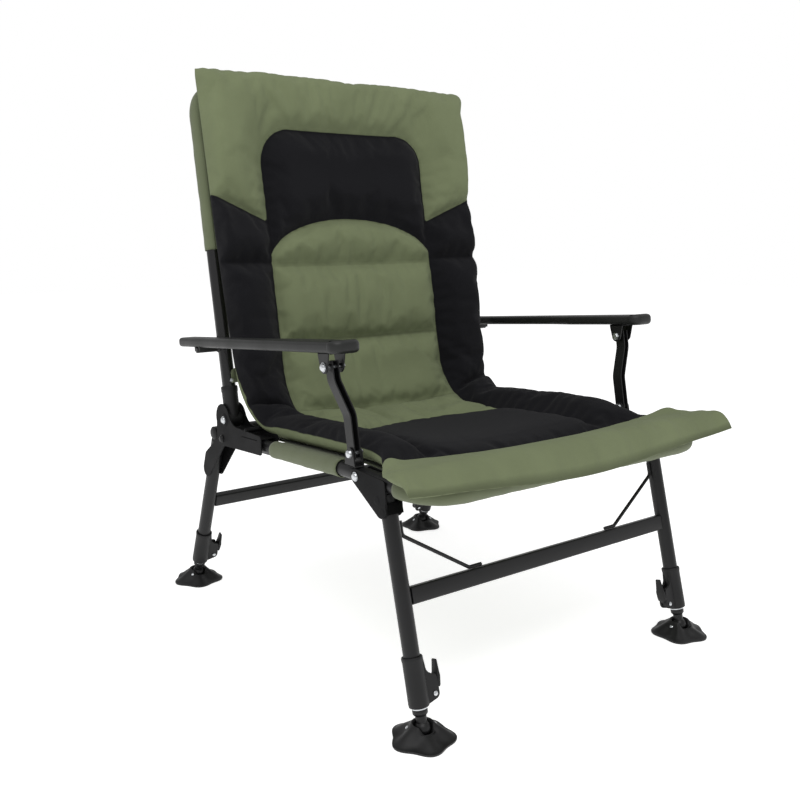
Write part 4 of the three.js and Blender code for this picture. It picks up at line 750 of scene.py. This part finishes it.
def arm_set(side, sign):
    """Strut, board with its thicker tip and the ribs over the arm pin, the channel under it and its bolt."""
    strut_chair = leaning(STRUT_Y, STRUT_Z, -math.atan2(*LINK), sign)
    arm_chair = leaning(STRUT_Y + LINK[0], STRUT_Z + LINK[1], ARM_SLOPE, sign)
    strut = capped(sweep(line(STRUT_LINE, (36, 36), 4), np.array(STRUT_SECTION), (1, 0, 0)))
    piece(f"arm_strut_{side}.bent", moved(strut, strut_chair), powder_coat, f"arm_strut_{side}")

    low, body = ARM_RISE - ARM_HIGH / 2, f"armrest_{side}"
    front = (ARM_FRONT - STRUT_Y - LINK[0]) / math.cos(ARM_SLOPE)
    rear = front + (ARM_REAR - ARM_FRONT) / math.cos(ARM_SLOPE)
    outline = [(352, front, 15), (352, rear, 11), (314, rear, 11)]
    outline += [(314, 176, 30), (303, 116, 30), (303, front, 15)]
    shell = board(round_corners(outline), low, low + ARM_HIGH, 6)
    nose, back = front - 2.5, front + 19.5
    tip = round_corners([(353.2, nose, 17), (353.2, back, 3), (301.8, back, 3), (301.8, nose, 17)])
    cap = board(tip, low - 1.25, low + ARM_HIGH + 1.25, 7)
    dy, dz = HINGE_Y - STRUT_Y, HINGE_Z - STRUT_Z
    pin_y = math.cos(ARM_SLOPE) * dy + math.sin(ARM_SLOPE) * dz
    ribs = [block((316, 350), (pin_y + a, pin_y + a + 5), (low - 7, low + 2)) for a in (-11, 6)]
    piece(f"{body}.moulded", moved(merge(shell, cap, *ribs), arm_chair), polypropylene, body, sharp=60)

    top = low - FIT
    eye = band([(0, 0, 10), (12.8, top - 2.2, 2.2), (-12.8, top - 2.2, 2.2)])
    web = block((ARM_X - BRACKET_FAR, ARM_X + BRACKET_FAR), (-15, 15), (top - SHEET, top))
    bracket = merge(plate(eye, ARM_X + BRACKET_NEAR), plate(eye, ARM_X - BRACKET_FAR), web)
    piece(f"arm_bracket_{side}.pressed", moved(bracket, arm_chair), powder_coat, body, 0.5)
    piece(f"arm_bolt_{side}.zinc", moved(bolt(ARM_X, 1, BRACKET_FAR, 0, 0), arm_chair), zinc, body)


for side, sign in SIDES:
    arm_set(side, sign)

# The mattress: one quilted pad from the top of the back, round the hip and over the seat to the front bar. A
# place on it is x across and u along its spine, both in millimetres.

# Its underside lies this far from the tubes' axes.
SUPPORT = 16.3
HINGE = np.array([0, HINGE_Y, HINGE_Z])
BACK_UP = np.array([0, math.sin(RECLINE), math.cos(RECLINE)])
BACK_OUT = np.array([0, -math.cos(RECLINE), math.sin(RECLINE)])
PAD_TOP = 636.0
HIP_RADIUS, HIP_SEAM = 115.0, 645.0
# The bend at the hip: it starts this far above the hinge along the back and ends at this y on the seat.
# The edges close at this share of the thickness above the underside.
LOW_SHARE = 0.42
EDGE_ROLL, FRONT_ROLL = 22.0, 12.0
# The front edge wraps the bar: how far, through what turn, and how much lower.
WRAP, WRAP_TURN, WRAP_DROP = 30.0, math.radians(90), 7.0
WING, GRID_STEP, BOLSTER_SEAM = 354.0, 7.0, 190.0
# The humps at the ends of the front roll: their height, place and size.
HUMP, HUMP_X, HUMP_Y, HUMP_SIZE = 13.0, 318.0, -316.0, 24.0
# No point of the cover swells further than this, and less on the seat's centre and the roll.
SWELL_CAP, ROLL_CAP = 10.0, 4.0


def spine_path():
    """Down the back, round the hip with its radius and along the seat to the front bar. The corner at the hip
    is where the back's line meets the seat's."""
    top = HINGE + BACK_UP * PAD_TOP + BACK_OUT * SUPPORT
    seat = RAIL_FRONT + SUPPORT
    seat_line = seat - RAIL_SLOPE * (top[1] - RAIL_BEND_Y)
    fall = (seat_line - top[2]) / (-BACK_UP[2] - RAIL_SLOPE * BACK_UP[1])
    corners = [top, top - BACK_UP * fall, (0, RAIL_BEND_Y, seat), (0, BAR_Y, seat)]
    return line(corners, (HIP_RADIUS, RAIL_BEND), 2)


SPINE = spine_path()
RUN = lengths(SPINE)
BAR_RUN = RUN[-1]
LENGTH = BAR_RUN + WRAP


def run_at(y):
    """How far along the spine the seat passes a place y."""
    return BAR_RUN - (y - BAR_Y)


def on_spine(u):
    return np.stack([np.interp(u, RUN, SPINE[:, k]) for k in range(3)], -1)


def on_normal(u):
    """Out of the sitter's side of the support: the spine's direction turned a quarter in the y-z plane."""
    t = on_spine(np.minimum(u + 3, BAR_RUN)) - on_spine(np.maximum(u - 3, 0))
    t /= np.linalg.norm(t, axis=-1, keepdims=True)
    return np.stack([0 * t[..., 0], t[..., 2], -t[..., 1]], -1)


# Places of the seams along the spine, the head panel's corner, arch and slanted seam, and the arc behind the
# seat.
FRONT_SEAM, REAR_ARC, REAR_ARC_DEPTH = run_at(-286), run_at(30), 75.0
HEAD_TOP, HEAD_SIDE, HEAD_CORNER = PAD_TOP - 538, PAD_TOP - 281, 64.0
ARCH_HIGH, ARCH_HALF = 89.0, 193.0
DIAGONAL, DIAGONAL_SLOPE = PAD_TOP - 363, 0.4
BOLSTER_CHANNEL = PAD_TOP - 286
CHANNELS = (PAD_TOP - 281, PAD_TOP - 131, HIP_SEAM + 10)
WIDTHS = [(0, 308), (36, 307), (206, 305), (306, 304), (436, 300), (536, 296), (600, 290), (run_at(62), 284)]
SEAT_HALF_WIDTHS = ((30, 281), (-246, 281), (-268, 289), (-300, 305), (-318, 318), (-340, 336), (-380, WING))
WIDTHS = np.array([*WIDTHS, *((run_at(y), w) for y, w in SEAT_HALF_WIDTHS), (LENGTH, WING)])
THICKNESSES = [(run_at(150), 44), (run_at(60), 36), (FRONT_SEAM - 60, 34), (FRONT_SEAM, 26)]
THICKNESSES = np.array([*THICKNESSES, (run_at(-335), 18), (run_at(-375), 25), (BAR_RUN, 29), (LENGTH, 24)])
# How deep a seam pinches the filling and how far that reaches; the front seam is drawn down further.
PINCH_SHARE, PINCH_REACH, FRONT_PINCH_SHARE, FRONT_PINCH_REACH = 0.5, 15.0, 0.72, 20.0
# Puckers along the seams, and how far they run out into the cloth.
PUCKER, PUCKER_REACH = 2.3, 16.0
SAG, HIP_SAG = 30.0, 4.0


def base_thickness(u):
    return np.interp(u, THICKNESSES[:, 0], THICKNESSES[:, 1])


def half_width(u):
    """The widths averaged over 32 mm of the run, so that the sides have no corners."""
    return np.mean([np.interp(u + d, WIDTHS[:, 0], WIDTHS[:, 1]) for d in (-16, -8, 0, 8, 16)], 0)


def arch(x):
    """The curved lower edge of the head panel: half an ellipse, as a run along the spine."""
    return HEAD_SIDE - ARCH_HIGH * np.sqrt(np.clip(1 - (x / ARCH_HALF) ** 2, 0, 1))


def head_distance(x, u):
    """Millimetres inside the head panel: a rounded rectangle above, the arch below."""
    a = np.abs(x)
    dx, dy = a - (BOLSTER_SEAM - HEAD_CORNER), (HEAD_TOP + HEAD_CORNER) - u
    rounded = HEAD_CORNER - np.hypot(np.maximum(dx, 0), np.maximum(dy, 0)) - np.minimum(np.maximum(dx, dy), 0)
    return np.minimum(rounded, (arch(a) - u) * 0.94)


def rear_arc(x):
    return REAR_ARC + REAR_ARC_DEPTH * (x / BOLSTER_SEAM) ** 2


def diagonal(a):
    return DIAGONAL - (a - BOLSTER_SEAM) * DIAGONAL_SLOPE


def panel_distance(x, u):
    """Millimetres inside the olive cloth, below zero in the black cloth: the greatest of the olive panels'
    distances."""
    a = np.abs(x)
    lumbar = np.minimum(np.minimum(BOLSTER_SEAM - a, (u - arch(a)) * 0.9), rear_arc(x) - u)
    surround = np.minimum((diagonal(a) - u) * 0.93, -head_distance(x, u))
    return np.maximum(np.maximum(lumbar, surround), u - FRONT_SEAM)


def seam_distances(x, u):
    """One distance for each seam, with the place along that seam, both in millimetres. Each place starts
    elsewhere, so that no two seams pucker alike; where a seam isn't, its distance is far."""
    a, seams, far = np.abs(x), [], 400.0
    inner, outer = a < BOLSTER_SEAM + 3, a > BOLSTER_SEAM - 2

    def seam(distance, place, here=True):
        seams.append((np.where(here, np.abs(distance), far), place))

    seam(head_distance(x, u), np.arctan2(x, u - (HEAD_TOP + HEAD_SIDE) / 2) * 210)
    seam(a - BOLSTER_SEAM, u + np.sign(x) * 700, (u > DIAGONAL) & (u < FRONT_SEAM + 2))
    seam((u - diagonal(a)) * 0.93, x, outer)
    for k, place in enumerate(CHANNELS):
        seam(u - place - 0.03 * x * (k == 2), x + 900 * k, inner & (u > arch(a) - 1))
    seam((u - rear_arc(x)) * 0.92, x + 400, inner)
    seam(u - FRONT_SEAM, x - 500)
    seam(u - BOLSTER_CHANNEL, x + 250, outer)
    seam(np.maximum(0, LENGTH - 3 - u) * 0.8, x + 350)
    seam(u - HIP_SEAM + (a - 230) * 0.3, x + 150, outer)
    return seams


def ripple(place, phase):
    """A wave of uneven length along a seam: three sines whose lengths share no factor."""
    return sum(np.sin(place / length + k * phase) for k, length in ((1, 4.1), (2, 6.7), (3, 11.3))) / 3


def sag(x, u):
    """How far the support hangs: a parabola across the tubes, dying away at the top bar and the front bar."""
    across = np.maximum(0, 1 - (x / HALF) ** 2)
    ends = smooth((u - 24) / 170) * smooth((run_at(-380) - u) / 150)
    return (SAG + HIP_SAG * smooth((u - HIP_SEAM) / HIP_RADIUS)) * across * ends


def pad_thickness(x, u):
    """Panels swell between their seams; the side bolsters swell more; the front seam is drawn down
    furthest."""
    a = np.abs(x)
    seams = seam_distances(x, u)
    pinch = np.ones_like(u)
    for distance, _ in seams:
        pinch = np.minimum(pinch, 1 - PINCH_SHARE * np.exp(-((distance / PINCH_REACH) ** 1.2)))
    front = 1 - FRONT_PINCH_SHARE * np.exp(-((np.abs(u - FRONT_SEAM) / FRONT_PINCH_REACH) ** 1.6))
    wide = smooth((a - BOLSTER_SEAM) / 40) * smooth((u - DIAGONAL) / 60) * smooth((run_at(-270) - u) / 90)
    swell = np.where(u < run_at(100), 0.16, 0.2)
    height = base_thickness(u) * (1 + swell * wide) * np.minimum(pinch, front)
    height = height + HUMP * np.exp(-((a - HUMP_X) ** 2 + (u - run_at(HUMP_Y)) ** 2) / HUMP_SIZE**2)
    for k, (distance, place) in enumerate(seams):
        fading = np.exp(-distance / PUCKER_REACH) * smooth(distance / 5)
        height = height + PUCKER * ripple(place, k * 1.7) * fading
    return height


def pad_points(x, u, offset):
    """Offset from the support, out of the sitter's side. Over the front bar the rows turn about the bar's
    axis, less and less towards the wings."""
    wrap = np.maximum(0, u - BAR_RUN) / WRAP
    wing = smooth(np.abs(x) / WING)
    turn = wrap * WRAP_TURN * (1 - 0.45 * wing)
    spine, normal = on_spine(np.minimum(u, BAR_RUN)), on_normal(np.minimum(u, BAR_RUN))
    c, s = np.cos(turn), np.sin(turn)
    y, z = normal[..., 1] * c - normal[..., 2] * s, normal[..., 1] * s + normal[..., 2] * c
    axis = spine - normal * SUPPORT
    lift = SUPPORT + offset
    drop = WRAP_DROP * wrap**3 * (1 - 0.4 * wing)
    return np.stack([x, axis[..., 1] + y * lift, axis[..., 2] + z * lift - drop], -1)


def mattress_grid():
    """Rows along the spine, each a ring: the top from side to side, then the underside back. The edges are
    half ellipses; the ends close the same way."""
    turn = np.radians(np.linspace(0, 90, 6))
    rear, front = EDGE_ROLL * (1 - np.cos(turn)), LENGTH - FRONT_ROLL * (1 - np.cos(turn[::-1]))
    middle = np.arange(EDGE_ROLL + GRID_STEP, BAR_RUN, GRID_STEP)
    middle = np.concatenate([middle, BAR_RUN + np.array([3.0, 6.5, 10.0, 14.0])])
    u = np.concatenate([rear, middle, front])
    lift = np.concatenate([np.sin(turn), np.ones(len(middle)), np.sin(turn)[::-1]])
    inner = np.linspace(-1, 1, int(2 * 300 / GRID_STEP))[1:-1]
    width = half_width(u)[:, None]
    edge = (EDGE_ROLL + 14 * smooth((u - 560) / 140) * smooth((FRONT_SEAM + 30 - u) / 60))[:, None]
    flat = width - edge
    x = np.concatenate([-flat - edge * np.cos(turn), flat * inner, flat + edge * np.cos(turn[::-1])], 1)
    roll = np.concatenate([np.sin(turn), np.ones(len(inner)), np.sin(turn[::-1])])[None]
    uu = np.broadcast_to(u[:, None], x.shape).copy()
    thick, low = pad_thickness(x, uu), LOW_SHARE * base_thickness(uu)
    wing = np.maximum(0, np.abs(x) - HALF) / (WING - HALF)
    centre = low - sag(x, uu) + np.where(uu > FRONT_SEAM, 10 * wing**1.5, 0)
    full = roll * lift[:, None]
    above, below = pad_points(x, uu, centre + (thick - low) * full), pad_points(x, uu, centre - low * full)
    level = np.broadcast_to(roll, x.shape)
    pairs = (above, below), (x, x), (uu, uu), (np.ones_like(x), -np.ones_like(x)), (level, -level)
    return [np.concatenate([top, under[:, -2:0:-1]], 1) for top, under in pairs]


def store(mesh, name, values):
    layer = mesh.attributes.new(name, "FLOAT", "POINT")
    layer.data.foreach_set("value", np.asarray(values, np.float32).ravel())


def stored(mesh, name):
    values = np.zeros(len(mesh.vertices), np.float32)
    mesh.attributes[name].data.foreach_get("value", values)
    return values


def map_cloth(mesh, across, along):
    """Cloth millimetres as UV coordinates, read by the weave."""
    layer = mesh.uv_layers.new(name="cloth_mm")
    loops = np.zeros(len(mesh.loops), np.int32)
    mesh.loops.foreach_get("vertex_index", loops)
    places = np.stack([across.ravel()[loops], along.ravel()[loops]], -1)
    layer.data.foreach_set("uv", places.astype(np.float32).ravel())


# The filled cover as simulated cloth: weight in kg a point, stiffnesses, how much longer each thread is than
# its place, and the pressure of the filling.
COVER = {"vertex_group_mass": "held", "quality": 6, "mass": 0.25, "tension_stiffness": 20}
COVER |= {"compression_stiffness": 8, "shear_stiffness": 6, "bending_stiffness": 0.3}
COVER |= {"shrink_min": -0.045, "use_pressure": True, "uniform_pressure_force": 1.6}
SWELL_STEPS = 20


def points_of(mesh):
    places = np.zeros(len(mesh.vertices) * 3)
    mesh.vertices.foreach_get("co", places)
    return places.reshape(-1, 3)


def puff(made, pins, cap):
    """Lets the cover swell like filled cloth: pressure inside, held at its seams and underneath. The result
    is kept in the mesh, and no point moves further than its cap in millimetres."""
    mesh, scene = made.data, bpy.context.scene
    rest = points_of(mesh)
    group = made.vertex_groups.new(name="held")
    group.add(np.nonzero(pins)[0].tolist(), 1.0, "REPLACE")
    cloth = made.modifiers.new("filled_cover", "CLOTH")
    for setting, value in COVER.items():
        setattr(cloth.settings, setting, value)
    cloth.settings.effector_weights.gravity = 0.0
    cloth.collision_settings.use_self_collision = False
    for step in range(1, SWELL_STEPS + 1):
        scene.frame_set(step)
    after = made.evaluated_get(bpy.context.evaluated_depsgraph_get()).to_mesh()
    moves = points_of(after) - rest
    reach = np.linalg.norm(moves, axis=1, keepdims=True)
    moves *= np.minimum(1, cap[:, None] * MM / np.maximum(reach, 1e-9))
    made.modifiers.remove(cloth)
    made.vertex_groups.remove(group)
    scene.frame_set(1)
    mesh.vertices.foreach_set("co", (rest + moves).ravel())
    mesh.update()


def finished(made):
    """One subdivision, kept in the mesh."""
    finer = made.modifiers.new("finer", "SUBSURF")
    finer.levels = finer.render_levels = 1
    mesh = bpy.data.meshes.new_from_object(made.evaluated_get(bpy.context.evaluated_depsgraph_get()))
    made.modifiers.remove(finer)
    made.data = mesh


def add_mattress():
    points, across, along, side, level = mattress_grid()
    mesh = make_mesh("mattress.quilted", grid(points, wrap=True))
    nearest = np.min([d for d, _ in seam_distances(across, along)], 0)
    # Where the underside's olive cloth comes round the edge: under it at the top, over it at the hip and the
    # seat.
    onset = 0.55 - 0.65 * smooth((along - 480) / 130) - 0.12 * smooth((along - 640) / 120)
    underside = np.where(along < FRONT_SEAM + 40, (-level - onset) * 18, -20.0)
    store(mesh, "panel", np.maximum(panel_distance(across, along), underside))
    # The seam attribute is the distance to the nearest seam on top, 9 mm underneath: it pins the cover and
    # sets the painted crease shade.
    store(mesh, "seam", np.where(side > 0, nearest, 9.0))
    store(mesh, "run", along)
    store(mesh, "across", across)
    map_cloth(mesh, across, along)
    outward(mesh)
    made = placed(mesh, mattress_cloth)
    seam, run = stored(mesh, "seam"), stored(mesh, "run")
    bolster = (np.abs(stored(mesh, "across")) > BOLSTER_SEAM) & (run < FRONT_SEAM)
    cap = np.where(bolster, SWELL_CAP, SWELL_CAP - (SWELL_CAP - ROLL_CAP) * smooth((run - REAR_ARC) / 60))
    puff(made, (seam < 4.0) | (seam == 9.0), cap)
    finished(made)
    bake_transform(made)
    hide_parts("seat_pad", "back_pad")


add_mattress()

# The slings: the olive cloth that carries the mattress, and its sleeves round the tubes.

CLOTH_TOP = TUBE + 1.4
CLOTH = 1.2
SEAT_HANG, BACK_HANG, GATHER, SLEEVE_GATHER = 34.0, 30.0, 1.0, 0.3
SLEEVE_SEAM = 0.02
# Half widths of the seat along -y and of the back along z: out to the tubes, and drawn in where no sleeve is.
SEAT_WIDTHS = ([-158, -36, -20, 180, 192, 300, 312, 400], [272, 272, HALF, HALF, 274, 274, HALF, HALF])
BACK_WIDTHS = ([67, 90, 100, 300, 318, 620], [HALF, HALF, 270, 270, HALF, HALF])
HELD_BY = {"seat_sling": ("seat_frame", "seat_tube"), "back_sling": ("backrest", "back_tube")}


def sheet(name, points, node):
    """An open cloth sheet from a grid of points, given its thickness, with its weave in flat millimetres. Its
    flat size is measured along its middle row and column."""
    mesh = make_mesh(name, grid(points))
    rows, columns = points.shape[:2]
    wide, long = (float(lengths(run)[-1] * MM) for run in (points[rows // 2], points[:, columns // 2]))
    across = np.broadcast_to(np.linspace(0, wide * 1000, columns)[None], (rows, columns))
    along = np.broadcast_to(np.linspace(0, long * 1000, rows)[:, None], (rows, columns))
    map_cloth(mesh, across, along)
    made = placed(mesh, olive_cloth)
    thick = made.modifiers.new("cloth_thickness", "SOLIDIFY")
    thick.thickness, thick.offset = CLOTH * MM, 0.0
    body, tube_node = HELD_BY[node]
    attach(made, body)
    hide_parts(node)
    one, other = points[1:, 1:] - points[:-1, :-1], points[1:, :-1] - points[:-1, 1:]
    area = float(np.linalg.norm(np.cross(one, other), axis=-1).sum() / 2 * MM * MM)


def gathers(place, size):
    return size * (np.sin(place / 5.3) + np.sin(place / 8.9 + 1.1)) / 2


def hanging(along, widths, share):
    """Points across each row of a sling, 81 in all, and the share by which they hang: a parabola between the
    tubes."""
    x = np.interp(along, *widths)[:, None] * np.linspace(-1, 1, 81)[None]
    return x, np.maximum(0, 1 - (x / HALF) ** 2) * share[:, None]


def add_seat_sling():
    """Rows from rear to front; each hangs between the rails by a parabola that dies away at the front bar."""
    y = np.arange(158.0, BAR_Y - 1, -6)
    x, share = hanging(-y, SEAT_WIDTHS, smooth((y + 380) / 150))
    hang, yy = SEAT_HANG * share, np.broadcast_to(y[:, None], x.shape)
    tight = gathers(yy, GATHER) * np.exp(-(HALF - np.abs(x)) / 20)
    z = rail_z(yy) + CLOTH_TOP - hang + np.where(hang > 3, tight, 0)
    sheet("seat_sling.cloth", np.stack([x, yy, z], -1), "seat_sling")


def add_back_sling():
    """Rows from the lower edge to the top bar, in the backrest's frame; the cloth is let into the hood at the
    sides."""
    z = np.arange(67.0, BAR_TOP + 1, 6)
    x, share = hanging(z, BACK_WIDTHS, smooth((BAR_TOP - z) / 170))
    points = np.stack([x, BACK_HANG * share - CLOTH_TOP, np.broadcast_to(z[:, None], x.shape)], -1)
    sheet("back_sling.cloth", back_frame()(points), "back_sling")


def sleeve(name, path, up, node, step=6.0):
    """Cloth rolled round a tube: a circle a little bigger than the tube, with small gathers along it, open at
    its seam and at both ends. The path gets a point at least every few millimetres first."""
    place = lengths(path)
    at = np.linspace(0, place[-1], int(place[-1] / step) + 1)
    path = np.stack([np.interp(at, place, path[:, k]) for k in range(3)], -1)
    turn = np.linspace(0, 2 * math.pi - SLEEVE_SEAM, 33)
    points = sweep(path, np.stack([np.cos(turn), np.sin(turn)], -1), up)
    place, out = lengths(path)[:, None], points - path[:, None]
    radius = TUBE + 1.6 + gathers(place, SLEEVE_GATHER) + 0.2 * np.sin(3 * turn + 0.05 * place)
    sheet(name, path[:, None] + out * radius[..., None], node)


add_seat_sling()
add_back_sling()
for side, sign in SIDES:
    rail = np.array([[sign * HALF, y, rail_z(y)] for y in (32, -180)])
    sleeve(f"seat_sleeve_{side}.cloth", rail, (0, 0, 1), "seat_sling")
bar = [(-HALF, -326, RAIL_FRONT), (-HALF, BAR_Y, RAIL_FRONT)]
bar += [(-x, y, z) for x, y, z in reversed(bar)]
sleeve("seat_front_sleeve.cloth", line(bar, (BAR_BEND, BAR_BEND), 6), (0, 0, 1), "seat_sling")
hood = [(-HALF, 0, 314), (-HALF, 0, BAR_TOP)]
hood += [(-x, y, z) for x, y, z in reversed(hood)]
hood = back_frame()(line(hood, (BACK_BEND, BACK_BEND), 6))
sleeve("back_hood.cloth", hood, BACK_OUT, "back_sling")

# Stage, light and camera, in metres.

FLOOR_HALF, FLOOR_Z = 9.0, -0.0004
FLOOR_GLOW, SURROUND_LIGHT = 0.62, 0.66
WHITE = (1, 1, 1, 1)


def add_stage():
    """A pale floor that keeps the shadow, a plain soft light, and a white surround where the camera sees
    it."""
    mesh = bpy.data.meshes.new("floor")
    corners = [(x * FLOOR_HALF, y * FLOOR_HALF, FLOOR_Z) for x, y in ((-1, -1), (1, -1), (1, 1), (-1, 1))]
    mesh.from_pydata(corners, [], [(0, 1, 2, 3)])
    pale, _, shader = surface("pale_floor", 0.9, Specular_IOR_Level=0.0, Emission_Strength=FLOOR_GLOW)
    shader.inputs["Base Color"].default_value = (0.8, 0.8, 0.8, 1)
    shader.inputs["Emission Color"].default_value = WHITE
    placed(mesh, pale)

    world = bpy.data.worlds.new("soft_light")
    bpy.context.scene.world = world
    world.use_nodes = True
    tree = world.node_tree
    light = tree.nodes["Background"]
    light.inputs["Color"].default_value, light.inputs["Strength"].default_value = WHITE, SURROUND_LIGHT
    white = add(tree, "ShaderNodeBackground", {}, {"Color": WHITE, "Strength": 1.0})
    seen = add(tree, "ShaderNodeLightPath").outputs["Is Camera Ray"]
    mix = add(tree, "ShaderNodeMixShader", {"Fac": seen, 1: light.outputs[0], 2: white.outputs[0]})
    tree.links.new(mix.outputs[0], tree.nodes["World Output"].inputs["Surface"])

    key = bpy.data.lights.new("soft_key", "AREA")
    key.size, key.energy = 2.6, 56
    lamp = bpy.data.objects.new("soft_key", key)
    lamp.location = (-1.1, -1.4, 3.2)
    aim = np.array([0.0, 0.0, 0.45]) - np.array(lamp.location)
    tilt, turn = math.acos(aim[2] / -np.linalg.norm(aim)), math.atan2(aim[1], aim[0]) - math.pi / 2
    lamp.rotation_euler = (tilt, 0, turn)
    bpy.context.scene.collection.objects.link(lamp)


def add_camera():
    data = bpy.data.cameras.new("photo_camera")
    data.lens, data.sensor_width = 41.49, 36
    camera = bpy.data.objects.new("photo_camera", data)
    camera.location = (-1.0486, -1.3407, 0.730)
    camera.rotation_euler = (math.radians(90 - 10.75), 0, math.radians(-36.6))
    bpy.context.scene.collection.objects.link(camera)
    bpy.context.scene.camera = camera


add_stage()
add_camera()
bpy.context.scene.view_settings.view_transform = "Standard"
